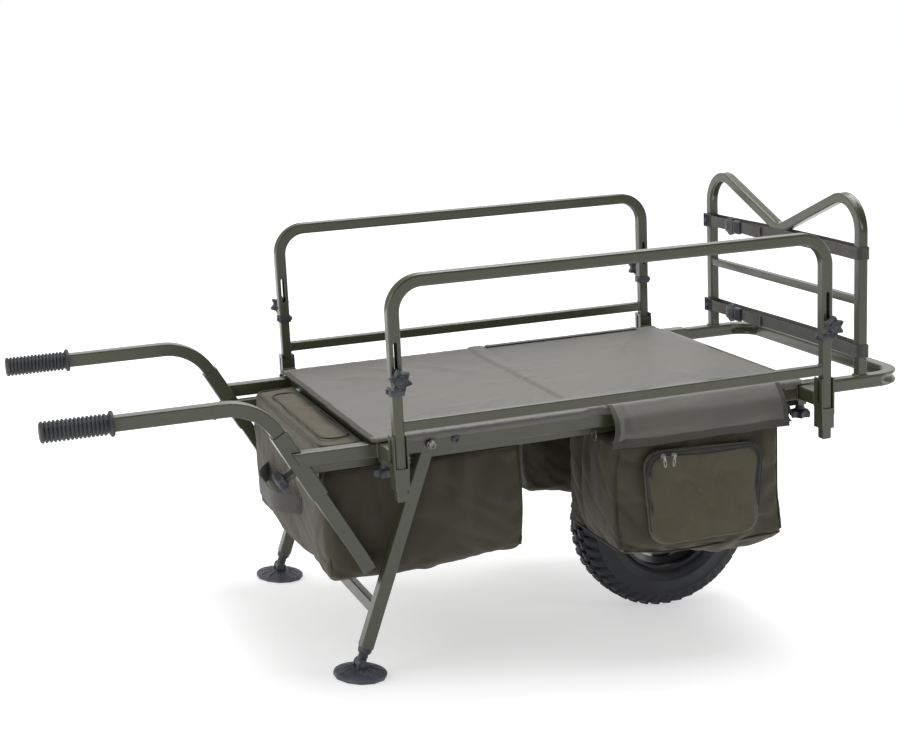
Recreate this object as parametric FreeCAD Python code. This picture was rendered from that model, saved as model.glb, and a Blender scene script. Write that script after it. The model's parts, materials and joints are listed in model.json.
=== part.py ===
import FreeCAD, Part
import math
import os

V = FreeCAD.Vector

# Driving dimensions, in millimetres and degrees. The cart is drawn level, with x = 0 at its rear side-rail
# posts, y = 0 on its middle plane and z = 0 at the ground under x = 0. standing() then tips it onto its
# wheel and feet.
NOSE_UP = 6.37            # the deck's slope when the cart stands on its wheel and feet
BAY = 857.0               # between the rear and the front side-rail posts
FRAME_Y = 300.0           # middle of the main rails, the legs and the headboard posts
SIDE_Y = 389.0            # middle of the side rails, pushed in
HANDLE_Y = 290.0          # middle of the handles

RAIL = 31.0               # main rail, a square tube
RAIL_WALL = 2.0
RAIL_Z = 433.5            # middle height of the main rails
CROSS = 32.0              # cross sleeves that hold the outriggers
CROSS_WALL = 2.0
REAR_RAIL = 26.0
SUB_RAIL = 20.0           # lower rails under the deck
SUB_Y = 272.0
SUB_Z = 407.0
TUBE_WALL = 1.5

HANDLE_TUBE = 25.4
HANDLE_Z = 537.0          # height of the straight part of the handles
HANDLE_BEND_X = -221.8    # where the handle's two straight lines meet
HANDLE_SLOPE = 61.0       # slope of the lower part, below level
HANDLE_BEND_R = 104.0
HANDLE_DROP = 377.0       # length of the sloping part, from where the lines meet
GRIP_END_X = -598.0
GRIP_LENGTH = 125.0
GRIP_R = 19.0
SLEEVE = 31.0
SLEEVE_BORE = 26.2
SLEEVE_START = 65.0       # along the sloping part
SLEEVE_LENGTH = 138.0

POST_TUBE = 19.0
HOOP_TUBE = 22.0
HOOP_WALL = 1.3
HOOP_TOP_Z = 746.5
HOOP_CORNER_R = 54.0
HOOP_BOTTOM_Z = 548.0
SIDE_BAR_Z = 492.0
POST_BOTTOM_Z = 358.0
POST_TOP_Z = 592.0
SLOT_LOW_Z = 574.0
SLOT_HIGH_Z = 643.0
SLOT_WIDTH = 7.6
HOOP_KNOB_Z = 579.0
LIFT = 38.0               # how far the side rail lifts in its brackets
OUTRIGGER = 27.4
OUTRIGGER_INNER_Y = 60.0  # where the outriggers end inside their sleeve
SOCKET_BOTTOM_Z = 378.0
SOCKET_TOP_Z = 417.0
CHEEK_TOP_Z = 476.0
PIN_Z = 428.0
PIN_R = 3.0

WHEEL_X = 697.0
WHEEL_R = 200.0
TYRE_WIDTH = 96.0
RIM_R = 108.0
HUB_R = 26.0
AXLE_R = 8.0
AXLE_HALF = 100.0
FORK_Y = 72.0
FORK_TUBE = 20.0

LEG_TUBE = 24.0
PIVOT_X = 83.0
PIVOT_Z = 432.0
LEG_LEAN = 20.6           # the legs lean backwards from the upright
LEG_LENGTH = 396.0        # from the pivot to the leg's open end
CROSSBAR = 20.0
CROSSBAR_DOWN = 324.0     # from the pivot, along the leg
PAD_R = 50.0
STEM_R = 9.0

LOOP_TUBE = 26.0
LOOP_FRONT_X = 1101.0     # front face of the loop
LOOP_BEND_R = 57.0
BOARD_X = 994.0
BOARD_TUBE = 20.0
BOARD_BEND_R = 63.0
BOARD_V_Z = 704.0
BOARD_V_SLOPE = 21.8
BOARD_V_R = 45.0
BOARD_BAR = 16.0
BOARD_BAR_Z = 596.0
STRAP_ZS = (497.0, 692.0)
STRAP_WIDTH = 25.0

BAG_X = (-112.0, 280.0)
BAG_Z = (180.0, 394.0)
BAG_HALF = 270.0
BAG_WALL = 4.0            # the bags' padded cloth
LID_FRONT_X = -20.0
LID_HALF = 254.0
LID_Z = 436.0
GRAB_HALF = 130.0         # half the grab loop's span
GRAB_BOW = 46.0           # how far it stands out
GRAB_Z = 296.0
GRAB_WIDTH = 38.0
GRAB_T = 4.0
PANNIER_X = (440.0, 785.0)
PANNIER_Y = (115.0, 345.0)
PANNIER_Z = (160.0, 392.0)
CLOTH_X = (-28.0, 848.0)
CLOTH_Z = 450.5
CLOTH_T = 2.5
FLAP_X = (430.0, 800.0)

SLEEVE_KNOB = 140.0       # where the handle clamp sits, down the sloping line
FORK_REAR_X = 540.0
FORK_FRONT_X = 826.0
BEARING_R = 17.5
LEG_SLOT = (64.3, 112.5)  # the opening under the main rail that the leg swings in
STOP_X = 131.0
STOP_Z = 435.0
ANKLE_UP = 24.0           # the ankle pin above the ground
BUCKLE_Y = 170.0
BUCKLE_LENGTH = 70.0
BUCKLE_T = 11.0
POCKET_X = (488.0, 742.0)
POCKET_Z = (190.0, 372.0)
POCKET_OUT = 26.0
ZIP_Y = PANNIER_Y[1] + POCKET_OUT + 0.4
ZIP_XS = (520.0, 542.0)
ZIP_Z = 362.0

GROUND_SIN = math.sin(math.radians(NOSE_UP))
GROUND_COS = math.cos(math.radians(NOSE_UP))
WHEEL_Z = (WHEEL_R - WHEEL_X * GROUND_SIN) / GROUND_COS
SLOPE_X = math.cos(math.radians(HANDLE_SLOPE))
SLOPE_Z = -math.sin(math.radians(HANDLE_SLOPE))
SIDES = (("near", -1), ("far", 1))
ENDS = (("rear", 0.0), ("front", BAY))


def standing_x(x, z):
    """How far forward a point of the level cart is once the cart stands."""
    return x * GROUND_COS - z * GROUND_SIN


REAR_END = standing_x(GRIP_END_X, HANDLE_Z + GRIP_R)
FRONT_END = standing_x(LOOP_FRONT_X, RAIL_Z - LOOP_TUBE / 2)
MIDDLE_X = (REAR_END + FRONT_END) / 2


def standing():
    """The placement that carries the level cart to how it stands, with the origin under its middle."""
    turn = FreeCAD.Rotation(V(0, 1, 0), -NOSE_UP)
    return FreeCAD.Placement(V(-MIDDLE_X, 0, 0), turn)


def stand_point(x, y, z):
    return standing().multVec(V(x, y, z))


def box(x0, x1, y0, y1, z0, z1):
    return Part.makeBox(x1 - x0, y1 - y0, z1 - z0, V(x0, y0, z0))


def rod(radius, start, direction, length):
    return Part.makeCylinder(radius, length, start, direction)


def merge(shapes):
    whole = shapes[0]
    for shape in shapes[1:]:
        whole = whole.fuse(shape)
    return whole.removeSplitter()


def rounded_wire(width, height, radius):
    """A closed rectangle with rounded corners, round the origin in the XY plane."""
    a = width / 2 - radius
    b = height / 2 - radius
    k = radius * math.sqrt(0.5)
    edges = []
    for sx, sy, flip in ((1, 1, False), (-1, 1, True), (-1, -1, False), (1, -1, True)):
        first = V(sx * (a + radius), sy * b, 0)
        middle = V(sx * (a + k), sy * (b + k), 0)
        last = V(sx * a, sy * (b + radius), 0)
        if flip:
            first, last = last, first
        edges.append(Part.Arc(first, middle, last).toShape())
    corners = len(edges)
    for i in range(corners):
        start = edges[i].Vertexes[-1].Point
        end = edges[(i + 1) % corners].Vertexes[0].Point
        edges.append(Part.LineSegment(start, end).toShape())
    return Part.Wire(Part.__sortEdges__(edges))


def tube_face(width, height, wall, radius=2.5):
    """The section of a square tube, or of a solid bar where wall is 0."""
    outer = rounded_wire(width, height, radius)
    if wall == 0:
        return Part.Face(outer)
    inner = rounded_wire(width - 2 * wall, height - 2 * wall, max(radius - wall, 0.6))
    return Part.makeFace([outer, inner], "Part::FaceMakerBullseye")


def tube(points, width, wall, radii=(), normal=V(0, 1, 0), height=None):
    """A square tube along points that lie in one plane, bent to radii at its inner points."""
    height = height or width
    points = [V(*p) for p in points]
    solids = []
    start = points[0]
    for i in range(len(points) - 1):
        along = (points[i + 1] - points[i]).normalize()
        last = i == len(points) - 2
        trim = 0.0
        if not last:
            ahead = (points[i + 2] - points[i + 1]).normalize()
            turn = along.getAngle(ahead)
            trim = radii[i] * math.tan(turn / 2)
        end = points[i + 1] - along * trim
        face = tube_face(width, height, wall)
        spin = FreeCAD.Rotation(normal, along.cross(normal), along, "ZXY")
        face.Placement = FreeCAD.Placement(start, spin)
        solids.append(face.extrude(end - start))
        if last:
            continue
        axis = along.cross(ahead).normalize()
        centre = end + axis.cross(along) * radii[i]
        bend = tube_face(width, height, wall)
        bend.Placement = FreeCAD.Placement(end, spin)
        solids.append(bend.revolve(centre, axis, math.degrees(turn)))
        start = points[i + 1] + ahead * trim
    return merge(solids)


def lobed_plate(lobes, outer, depth, thickness):
    """A star knob's head: a round plate with a finger hollow between each two lobes."""
    head = Part.makeCylinder(outer, thickness)
    for i in range(lobes):
        turn = 2 * math.pi * (i + 0.5) / lobes
        place = V((outer + depth * 0.6) * math.cos(turn), (outer + depth * 0.6) * math.sin(turn), -1)
        head = head.cut(Part.makeCylinder(depth * 1.35, thickness + 2, place))
    return head


def knob(at, out, stud):
    """A star knob: lobed head, neck and stud. out points from the tube to the hand."""
    head = lobed_plate(6, 21.0, 6.5, 13.0)
    head.translate(V(0, 0, 12))
    neck = Part.makeCone(9.0, 12.0, 12.0)
    bolt = Part.makeCylinder(3.0, stud + 1.0, V(0, 0, -stud))
    cap = Part.makeCylinder(6.0, 2.0, V(0, 0, 25))
    whole = merge([head, neck, bolt, cap])
    whole.Placement = FreeCAD.Placement(at, FreeCAD.Rotation(V(0, 0, 1), out))
    return whole


def along_handle(distance, across=0.0):
    """A point on the handle's sloping line, measured down it and across it towards the rear."""
    x = HANDLE_BEND_X + SLOPE_X * distance + SLOPE_Z * across
    z = HANDLE_Z + SLOPE_Z * distance - SLOPE_X * across
    return x, z


def handle_tube(side):
    y = side * HANDLE_Y
    end_x, end_z = along_handle(HANDLE_DROP)
    points = [(GRIP_END_X + 4, y, HANDLE_Z), (HANDLE_BEND_X, y, HANDLE_Z), (end_x, y, end_z)]
    return tube(points, HANDLE_TUBE, 2.0, [HANDLE_BEND_R])


def grip(side):
    """A rubber grip: a ribbed sleeve with a closed end and an inner flange."""
    y = side * HANDLE_Y
    start = V(GRIP_END_X, y, HANDLE_Z)
    x_axis = V(1, 0, 0)
    shape = rod(GRIP_R - 2.5, start, x_axis, GRIP_LENGTH)
    ribs = 14
    pitch = (GRIP_LENGTH - 16) / ribs
    for i in range(ribs + 1):
        x = GRIP_END_X + 2 + i * pitch
        shape = shape.fuse(rod(GRIP_R, V(x, y, HANDLE_Z), x_axis, pitch * 0.55))
    flange = rod(GRIP_R + 3.5, V(GRIP_END_X + GRIP_LENGTH - 6, y, HANDLE_Z), x_axis, 6)
    half = HANDLE_TUBE / 2
    bore_end = GRIP_END_X + GRIP_LENGTH + 1
    hole = box(GRIP_END_X + 4, bore_end, y - half, y + half, HANDLE_Z - half, HANDLE_Z + half)
    return shape.fuse(flange).cut(hole)


def sleeve_tube(side, solid=False):
    x0, z0 = along_handle(SLEEVE_START)
    x1, z1 = along_handle(SLEEVE_START + SLEEVE_LENGTH)
    y = side * HANDLE_Y
    wall = 0 if solid else (SLEEVE - SLEEVE_BORE) / 2
    return tube([(x0, y, z0), (x1, y, z1)], SLEEVE, wall)


def sleeve_outward():
    return V(SLOPE_Z, 0, -SLOPE_X)


def rear_rail(side):
    """The rear rail with the handle sleeve welded to its slanted end, and the clamp's threaded boss."""
    y = side * FRAME_Y
    start_x = HANDLE_BEND_X + 40
    rail = tube([(start_x, y, RAIL_Z - 1), (-CROSS / 2, y, RAIL_Z - 1)], REAR_RAIL, TUBE_WALL)
    sub = tube([(start_x, side * SUB_Y, SUB_Z), (BAY + CROSS / 2, side * SUB_Y, SUB_Z)], SUB_RAIL, TUBE_WALL)
    behind = box(-900, 0, -400, 400, -700, 700)
    mid_x, mid_z = along_handle(SLEEVE_START + SLEEVE_LENGTH / 2)
    behind.Placement = FreeCAD.Placement(V(mid_x, 0, mid_z), FreeCAD.Rotation(V(0, 1, 0), HANDLE_SLOPE - 90))
    rail = rail.cut(sleeve_tube(side, True)).cut(behind)
    sub = sub.cut(sleeve_tube(side, True)).cut(behind)
    x, z = along_handle(SLEEVE_KNOB, SLEEVE / 2 - 0.5)
    boss = rod(9.0, V(x, side * HANDLE_Y, z), sleeve_outward(), 8.5)
    hole_x, hole_z = along_handle(SLEEVE_KNOB)
    bore = rod(3.1, V(hole_x, side * HANDLE_Y, hole_z), sleeve_outward(), 40)
    sleeve = sleeve_tube(side).fuse(boss).cut(bore)
    return merge([sleeve, rail]), sub


def handle_knob(side):
    x, z = along_handle(SLEEVE_KNOB, SLEEVE / 2 + 8.3)
    return knob(V(x, side * HANDLE_Y, z), sleeve_outward(), 9.6)


def main_rail(side):
    """The main rail, open underneath at the leg, with the leg's pivot and stop bolt holes."""
    y = side * FRAME_Y
    rail = tube([(CROSS / 2, y, RAIL_Z), (BAY - CROSS / 2, y, RAIL_Z)], RAIL, RAIL_WALL)
    half = RAIL / 2 - RAIL_WALL
    low = RAIL_Z - RAIL / 2
    rail = rail.cut(box(LEG_SLOT[0], LEG_SLOT[1], y - half, y + half, low - 1, low + 3))
    for x, z, radius in ((PIVOT_X, PIVOT_Z, 4.0), (STOP_X, STOP_Z, 4.0)):
        rail = rail.cut(rod(radius, V(x, y - 30, z), V(0, 1, 0), 60))
    return rail


def cross_sleeve(x, front):
    """A cross sleeve for two outriggers, with clamp bosses under it and, at the front, the loop's sockets."""
    reach = FRAME_Y + 16
    z = RAIL_Z - 0.5
    parts = [tube([(x, -reach, z), (x, reach, z)], CROSS, CROSS_WALL, normal=V(1, 0, 0))]
    low = z - CROSS / 2
    for _, side in SIDES:
        parts.append(box(x - 9, x + 9, side * FRAME_Y - 9, side * FRAME_Y + 9, low - 12, low + 0.5))
        if front:
            start = (x + CROSS / 2, side * FRAME_Y, RAIL_Z)
            end = (x + CROSS / 2 + 42, side * FRAME_Y, RAIL_Z)
            parts.append(tube([start, end], RAIL, RAIL_WALL))
    whole = merge(parts)
    for _, side in SIDES:
        whole = whole.cut(rod(3.1, V(x, side * FRAME_Y, low - 20), V(0, 0, 1), 24))
    return whole


def width_knob(x, side):
    low = RAIL_Z - 0.5 - CROSS / 2
    return knob(V(x, side * FRAME_Y, low - 12.3), V(0, 0, -1), 13.5)


def cross_tubes():
    """Three cross tubes between the lower rails. The wheel fork hangs from the last two."""
    reach = SUB_Y - SUB_RAIL / 2
    tubes = []
    for x in (300.0, FORK_REAR_X, FORK_FRONT_X):
        tubes.append(tube([(x, -reach, SUB_Z), (x, reach, SUB_Z)], SUB_RAIL, TUBE_WALL, normal=V(1, 0, 0)))
    return Part.makeCompound(tubes)


def wheel_fork(side):
    """Two struts from the cross tubes that meet at a drop-out plate, which holds one end of the axle."""
    y = side * FORK_Y
    top = SUB_Z - SUB_RAIL / 2
    rear = tube([(FORK_REAR_X, y, top + 30), (WHEEL_X - 14, y, WHEEL_Z + 12)], FORK_TUBE, TUBE_WALL)
    front = tube([(FORK_FRONT_X, y, top + 30), (WHEEL_X + 14, y, WHEEL_Z + 12)], FORK_TUBE, TUBE_WALL)
    plate = rod(30.0, V(WHEEL_X, y - 3, WHEEL_Z), V(0, 1, 0), 6)
    whole = merge([rear, front, plate])
    whole = whole.cut(box(300, 1000, y - 40, y + 40, top, top + 100))
    return whole.cut(rod(AXLE_R, V(WHEEL_X, y - 40, WHEEL_Z), V(0, 1, 0), 80))


def wheel_turned(profile):
    """A ring about the wheel's axle, from (radius, across) points."""
    points = [V(WHEEL_X, across, WHEEL_Z + radius) for radius, across in profile]
    face = Part.Face(Part.makePolygon(points + points[:1]))
    return face.revolve(V(WHEEL_X, 0, WHEEL_Z), V(0, 1, 0), 360)


def tyre():
    """A pneumatic tyre: rounded tread, bulging walls and two beads, as one closed ring."""
    half = TYRE_WIDTH / 2
    outer = [(WHEEL_R - 26, half - 3), (WHEEL_R - 10, half - 9), (WHEEL_R - 2, half - 22)]
    outer.append((WHEEL_R, half - 36))
    wall = [(RIM_R + 4, half - 20), (RIM_R + 14, half - 8), (WHEEL_R - 52, half)]
    side = wall + outer
    inner = [(RIM_R + 4, half - 30), (RIM_R + 26, half - 14), (WHEEL_R - 30, half - 16)]
    inner.append((WHEEL_R - 18, half - 34))
    profile = side + [(r, -y) for r, y in reversed(side)]
    hollow = inner + [(r, -y) for r, y in reversed(inner)]
    return wheel_turned(profile).cut(wheel_turned(hollow))


def rim():
    """The rim: a well with two flanges, a disc with six slots, and the hub."""
    well = [(RIM_R + 8, 40), (RIM_R + 8, 37), (RIM_R + 3.4, 35), (RIM_R + 3.4, 19), (RIM_R - 10, 15)]
    shell = well + [(r, -y) for r, y in reversed(well)]
    inside = [(RIM_R - 13, 0.0), (RIM_R - 13, 17), (RIM_R + 0.4, 23), (RIM_R + 0.4, 40)]
    under = [(r, -y) for r, y in reversed(inside[1:])]
    ring = wheel_turned(shell + under + inside)
    disc = rod(RIM_R - 12, V(WHEEL_X, -4, WHEEL_Z), V(0, 1, 0), 8)
    hub = rod(HUB_R, V(WHEEL_X, -46, WHEEL_Z), V(0, 1, 0), 92)
    whole = merge([ring, disc, hub])
    slots = 6
    for i in range(slots):
        turn = 2 * math.pi * i / slots
        place = V(WHEEL_X + 64 * math.cos(turn), -20, WHEEL_Z + 64 * math.sin(turn))
        whole = whole.cut(rod(18, place, V(0, 1, 0), 40))
    whole = whole.cut(rod(AXLE_R + 3, V(WHEEL_X, -60, WHEEL_Z), V(0, 1, 0), 120))
    for side in (-1, 1):
        pocket = rod(BEARING_R, V(WHEEL_X, side * 46, WHEEL_Z), V(0, -side, 0), 12)
        whole = whole.cut(pocket)
    return whole.cut(rod(3.0, V(WHEEL_X, -14, WHEEL_Z + RIM_R - 30), V(0, 0, 1), 60))


def bearings():
    rings = []
    for side in (-1, 1):
        ring = rod(BEARING_R, V(WHEEL_X, side * 46, WHEEL_Z), V(0, -side, 0), 12)
        rings.append(ring.cut(rod(AXLE_R + 0.05, V(WHEEL_X, -60, WHEEL_Z), V(0, 1, 0), 120)))
    return Part.makeCompound(rings)


def valve():
    """The tyre valve, through the rim well beside the disc."""
    stem = rod(2.9, V(WHEEL_X, -14, WHEEL_Z + RIM_R - 34), V(0, 0, 1), 38)
    cap = rod(4.2, V(WHEEL_X, -14, WHEEL_Z + RIM_R - 36), V(0, 0, 1), 12)
    return stem.fuse(cap)


def axle():
    return rod(AXLE_R, V(WHEEL_X, -AXLE_HALF, WHEEL_Z), V(0, 1, 0), 2 * AXLE_HALF)


def hexagon(across, thickness):
    points = []
    for i in range(7):
        turn = math.pi * i / 3
        points.append(V(across / math.sqrt(3) * math.cos(turn), across / math.sqrt(3) * math.sin(turn), 0))
    return Part.Face(Part.makePolygon(points)).extrude(V(0, 0, thickness))


def axle_nuts():
    """A nut and a washer outside each fork plate, and a spacer inside it."""
    solids = []
    for side in (-1, 1):
        turn = FreeCAD.Rotation(V(0, 0, 1), V(0, side, 0))
        gap = FORK_Y + FORK_TUBE / 2
        nut = hexagon(24, 7).fuse(Part.makeCylinder(15, 2.0, V(0, 0, -2)))
        nut = nut.cut(Part.makeCylinder(AXLE_R, 30, V(0, 0, -10)))
        nut.Placement = FreeCAD.Placement(V(WHEEL_X, side * (gap + 2), WHEEL_Z), turn)
        solids.append(nut)
        spacer = rod(12.5, V(WHEEL_X, side * 46.3, WHEEL_Z), V(0, side, 0), gap - FORK_TUBE - 46.3)
        solids.append(spacer.cut(rod(AXLE_R, V(WHEEL_X, -99, WHEEL_Z), V(0, 1, 0), 198)))
    return Part.makeCompound(solids)


def outrigger(x, side):
    """A tube that slides in a cross sleeve, and its end bracket: two slotted cheeks over a square socket."""
    inner = side * OUTRIGGER_INNER_Y
    face = side * (SIDE_Y - 15.5)
    z = RAIL_Z - 0.5
    parts = [tube([(x, inner, z), (x, face, z)], OUTRIGGER, TUBE_WALL, normal=V(1, 0, 0))]
    y0, y1 = sorted((side * (SIDE_Y - 14.5), side * (SIDE_Y + 12.5)))
    back0, back1 = sorted((side * (SIDE_Y - 15.5), side * (SIDE_Y - 12.0)))
    for hand in (-1, 1):
        a, b = sorted((x + hand * 11.0, x + hand * 14.0))
        cheek = box(a, b, y0, y1, SOCKET_TOP_Z - 12, CHEEK_TOP_Z)
        slot = box(a - 1, b + 1, side * SIDE_Y - 3.4, side * SIDE_Y + 3.4, PIN_Z - 4, PIN_Z + LIFT + 4)
        parts.append(cheek.cut(slot))
    parts.append(box(x - 14, x + 14, back0, back1, SOCKET_BOTTOM_Z, CHEEK_TOP_Z - 8))
    socket = box(x - 13, x + 13, y0, y1, SOCKET_BOTTOM_Z, SOCKET_TOP_Z)
    parts.append(socket)
    whole = merge(parts)
    half = POST_TUBE / 2 + 0.3
    y = side * SIDE_Y
    post = box(x - half, x + half, y - half, y + half, SOCKET_BOTTOM_Z - 5, CHEEK_TOP_Z)
    return whole.cut(post)


def side_frame(side):
    """The lower half of a side rail: two posts, their bar and the pins that hang it in its brackets."""
    y = side * SIDE_Y
    posts = []
    for _, x in ENDS:
        posts.append(tube([(x, y, POST_BOTTOM_Z), (x, y, POST_TOP_Z)], POST_TUBE, TUBE_WALL))
    half = POST_TUBE / 2
    bar = tube([(half - 0.5, y, SIDE_BAR_Z), (BAY - half + 0.5, y, SIDE_BAR_Z)], POST_TUBE, TUBE_WALL)
    whole = merge(posts + [bar])
    for _, x in ENDS:
        start = V(x, y, HOOP_KNOB_Z)
        whole = whole.cut(rod(3.1, start, V(0, side, 0), 30))
        whole = whole.fuse(rod(PIN_R, V(x - 18, y, PIN_Z), V(1, 0, 0), 36))
        for hand in (-1, 1):
            head = rod(5.2, V(x + hand * 14.4, y, PIN_Z), V(hand, 0, 0), 4.2)
            whole = whole.fuse(head)
    return whole.removeSplitter()


def hoop(side):
    """The raised half of a side rail: one bent tube whose slotted legs slide over the lower posts."""
    y = side * SIDE_Y
    points = [(0, y, HOOP_BOTTOM_Z), (0, y, HOOP_TOP_Z), (BAY, y, HOOP_TOP_Z), (BAY, y, HOOP_BOTTOM_Z)]
    whole = tube(points, HOOP_TUBE, HOOP_WALL, [HOOP_CORNER_R, HOOP_CORNER_R])
    half = SLOT_WIDTH / 2
    for _, x in ENDS:
        slot = box(x - half, x + half, y - 20, y + 20, SLOT_LOW_Z + half, SLOT_HIGH_Z - half)
        for z in (SLOT_LOW_Z + half, SLOT_HIGH_Z - half):
            slot = slot.fuse(rod(half, V(x, y - 20, z), V(0, 1, 0), 40))
        whole = whole.cut(slot)
    return whole


def collars(side):
    """A plastic collar round the foot of each hoop leg, which it grips from outside."""
    rings = []
    y = side * SIDE_Y
    for _, x in ENDS:
        outer = tube([(x, y, HOOP_BOTTOM_Z), (x, y, HOOP_BOTTOM_Z + 14)], HOOP_TUBE + 5, 2.5)
        rings.append(outer)
    return Part.makeCompound(rings)


def hoop_knob(x, side):
    return knob(V(x, side * (SIDE_Y + HOOP_TUBE / 2 + 0.4), HOOP_KNOB_Z), V(0, side, 0), 8.0)


def down_leg(distance, across=0.0):
    """A point on the leg's line, measured down from the pivot and across it towards the front."""
    lean = math.radians(LEG_LEAN)
    x = PIVOT_X - math.sin(lean) * distance + math.cos(lean) * across
    z = PIVOT_Z - math.cos(lean) * distance - math.sin(lean) * across
    return x, z


def leg_frame():
    """Two legs and their crossbar, which swing together about the pivot bolts."""
    parts = []
    x0, z0 = down_leg(-5.0)
    x1, z1 = down_leg(LEG_LENGTH)
    for _, side in SIDES:
        y = side * FRAME_Y
        parts.append(tube([(x0, y, z0), (x1, y, z1)], LEG_TUBE, TUBE_WALL))
    bx, bz = down_leg(CROSSBAR_DOWN)
    reach = FRAME_Y - LEG_TUBE / 2 + 0.5
    lean = math.radians(LEG_LEAN)
    across = V(math.cos(lean), 0, -math.sin(lean))
    parts.append(tube([(bx, -reach, bz), (bx, reach, bz)], CROSSBAR, TUBE_WALL, normal=across))
    whole = merge(parts)
    for _, side in SIDES:
        whole = whole.cut(rod(4.05, V(PIVOT_X, side * FRAME_Y - 30, PIVOT_Z), V(0, 1, 0), 60))
    return whole


def leg_bolts():
    """The pivot bolt of each leg, with its spacer and head outside, and the stop bolt beside it."""
    solids = []
    for _, side in SIDES:
        out = V(0, side, 0)
        inner = side * (FRAME_Y - RAIL / 2)
        face = side * (FRAME_Y + RAIL / 2)
        pivot = merge([
            rod(4.0, V(PIVOT_X, inner - side * 6, PIVOT_Z), out, RAIL + 8),
            rod(8.5, V(PIVOT_X, face, PIVOT_Z), out, 9.0),
            rod(7.0, V(PIVOT_X, face + side * 9, PIVOT_Z), out, 5.0),
            rod(7.0, V(PIVOT_X, inner - side * 6, PIVOT_Z), out, 6.0),
        ])
        stop = merge([
            rod(4.0, V(STOP_X, inner - side * 6, STOP_Z), out, RAIL + 8),
            rod(7.5, V(STOP_X, face, STOP_Z), out, 5.0),
            rod(7.0, V(STOP_X, inner - side * 6, STOP_Z), out, 6.0),
        ])
        solids += [pivot, stop]
    return Part.makeCompound(solids)


def ankle_point():
    """Where the leg's line is ANKLE_UP above the ground."""
    lean = math.radians(LEG_LEAN)
    height = PIVOT_X * GROUND_SIN + PIVOT_Z * GROUND_COS - ANKLE_UP
    drop = math.sin(lean) * GROUND_SIN + math.cos(lean) * GROUND_COS
    return height / drop


def foot_stem(side):
    """A round stem in the leg's plug, with a collar where it leaves the leg and an eye for the ankle pin."""
    y = side * FRAME_Y
    length = ankle_point()
    x0, z0 = down_leg(LEG_LENGTH - 70)
    x1, z1 = down_leg(length)
    down = V(x1 - x0, 0, z1 - z0).normalize()
    rise = length - (LEG_LENGTH - 70)
    stem = rod(STEM_R, V(x0, y, z0), down, rise)
    eye = rod(9.6, V(x1, y - 8, z1), V(0, 1, 0), 16)
    cx, cz = down_leg(LEG_LENGTH + 0.3)
    collar = rod(12.5, V(cx, y, cz), down, 12)
    whole = merge([stem, eye, collar])
    return whole.cut(rod(3.05, V(x1, y - 20, z1), V(0, 1, 0), 40))


def foot_pad(side):
    """A round mud foot with a flat sole, a faceted dome and two ears with the ankle pin."""
    length = ankle_point()
    x, z = down_leg(length)
    y = side * FRAME_Y
    sides = 12
    rings = []
    for radius, height in ((PAD_R, 0.0), (PAD_R, 5.0), (26.0, 11.0)):
        points = []
        for i in range(sides + 1):
            turn = 2 * math.pi * i / sides
            points.append(V(radius * math.cos(turn), radius * math.sin(turn), height))
        rings.append(Part.makePolygon(points))
    dome = Part.makeLoft(rings[:2], True, True).fuse(Part.makeLoft(rings[1:], True, True))
    ears = []
    for hand in (-1, 1):
        y0, y1 = sorted((hand * 9.6, hand * 14.0))
        ears.append(box(-10, 10, y0, y1, 8, ANKLE_UP))
        ears.append(rod(10, V(0, y0, ANKLE_UP), V(0, 1, 0), y1 - y0))
    pin = rod(3.0, V(0, -17, ANKLE_UP), V(0, 1, 0), 34)
    whole = merge([dome] + ears + [pin])
    whole.Placement = FreeCAD.Placement(V(x, y, z), FreeCAD.Rotation(V(0, 1, 0), NOSE_UP)).multiply(
        FreeCAD.Placement(V(0, 0, -ANKLE_UP), FreeCAD.Rotation()))
    return whole


def front_loop():
    """The bent front loop, plugged into its two sockets."""
    reach = FRAME_Y
    front = LOOP_FRONT_X - LOOP_TUBE / 2
    back = BAY + CROSS / 2 + 2
    points = [(back, -reach, RAIL_Z), (front, -reach, RAIL_Z), (front, reach, RAIL_Z), (back, reach, RAIL_Z)]
    return tube(points, LOOP_TUBE, TUBE_WALL, [LOOP_BEND_R, LOOP_BEND_R], V(0, 0, 1))


def headboard():
    """The headboard: one tube with a V-shaped top, and a level bar between its posts."""
    base = RAIL_Z + LOOP_TUBE / 2
    peak = BOARD_V_Z + FRAME_Y * math.tan(math.radians(BOARD_V_SLOPE))
    points = [(BOARD_X, -FRAME_Y, base), (BOARD_X, -FRAME_Y, peak), (BOARD_X, 0, BOARD_V_Z)]
    points += [(BOARD_X, FRAME_Y, peak), (BOARD_X, FRAME_Y, base)]
    radii = [BOARD_BEND_R, BOARD_V_R, BOARD_BEND_R]
    outline = tube(points, BOARD_TUBE, TUBE_WALL, radii, V(1, 0, 0))
    reach = FRAME_Y - BOARD_TUBE / 2 + 0.5
    ends = [(BOARD_X, -reach, BOARD_BAR_Z), (BOARD_X, reach, BOARD_BAR_Z)]
    bar = tube(ends, BOARD_BAR, TUBE_WALL, normal=V(1, 0, 0))
    return merge([outline, bar])


def strap_loops():
    """Two webbing loops round both headboard posts."""
    loops = []
    for z in STRAP_ZS:
        gap = BOARD_TUBE + 0.8
        inner = rounded_wire(gap, 2 * FRAME_Y + gap, 2.0)
        outer = rounded_wire(gap + 4, 2 * FRAME_Y + gap + 4, 4.0)
        face = Part.makeFace([outer, inner], "Part::FaceMakerBullseye")
        band = face.extrude(V(0, 0, STRAP_WIDTH))
        band.translate(V(BOARD_X, 0, z - STRAP_WIDTH / 2))
        loops.append(band)
    return Part.makeCompound(loops)


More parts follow.
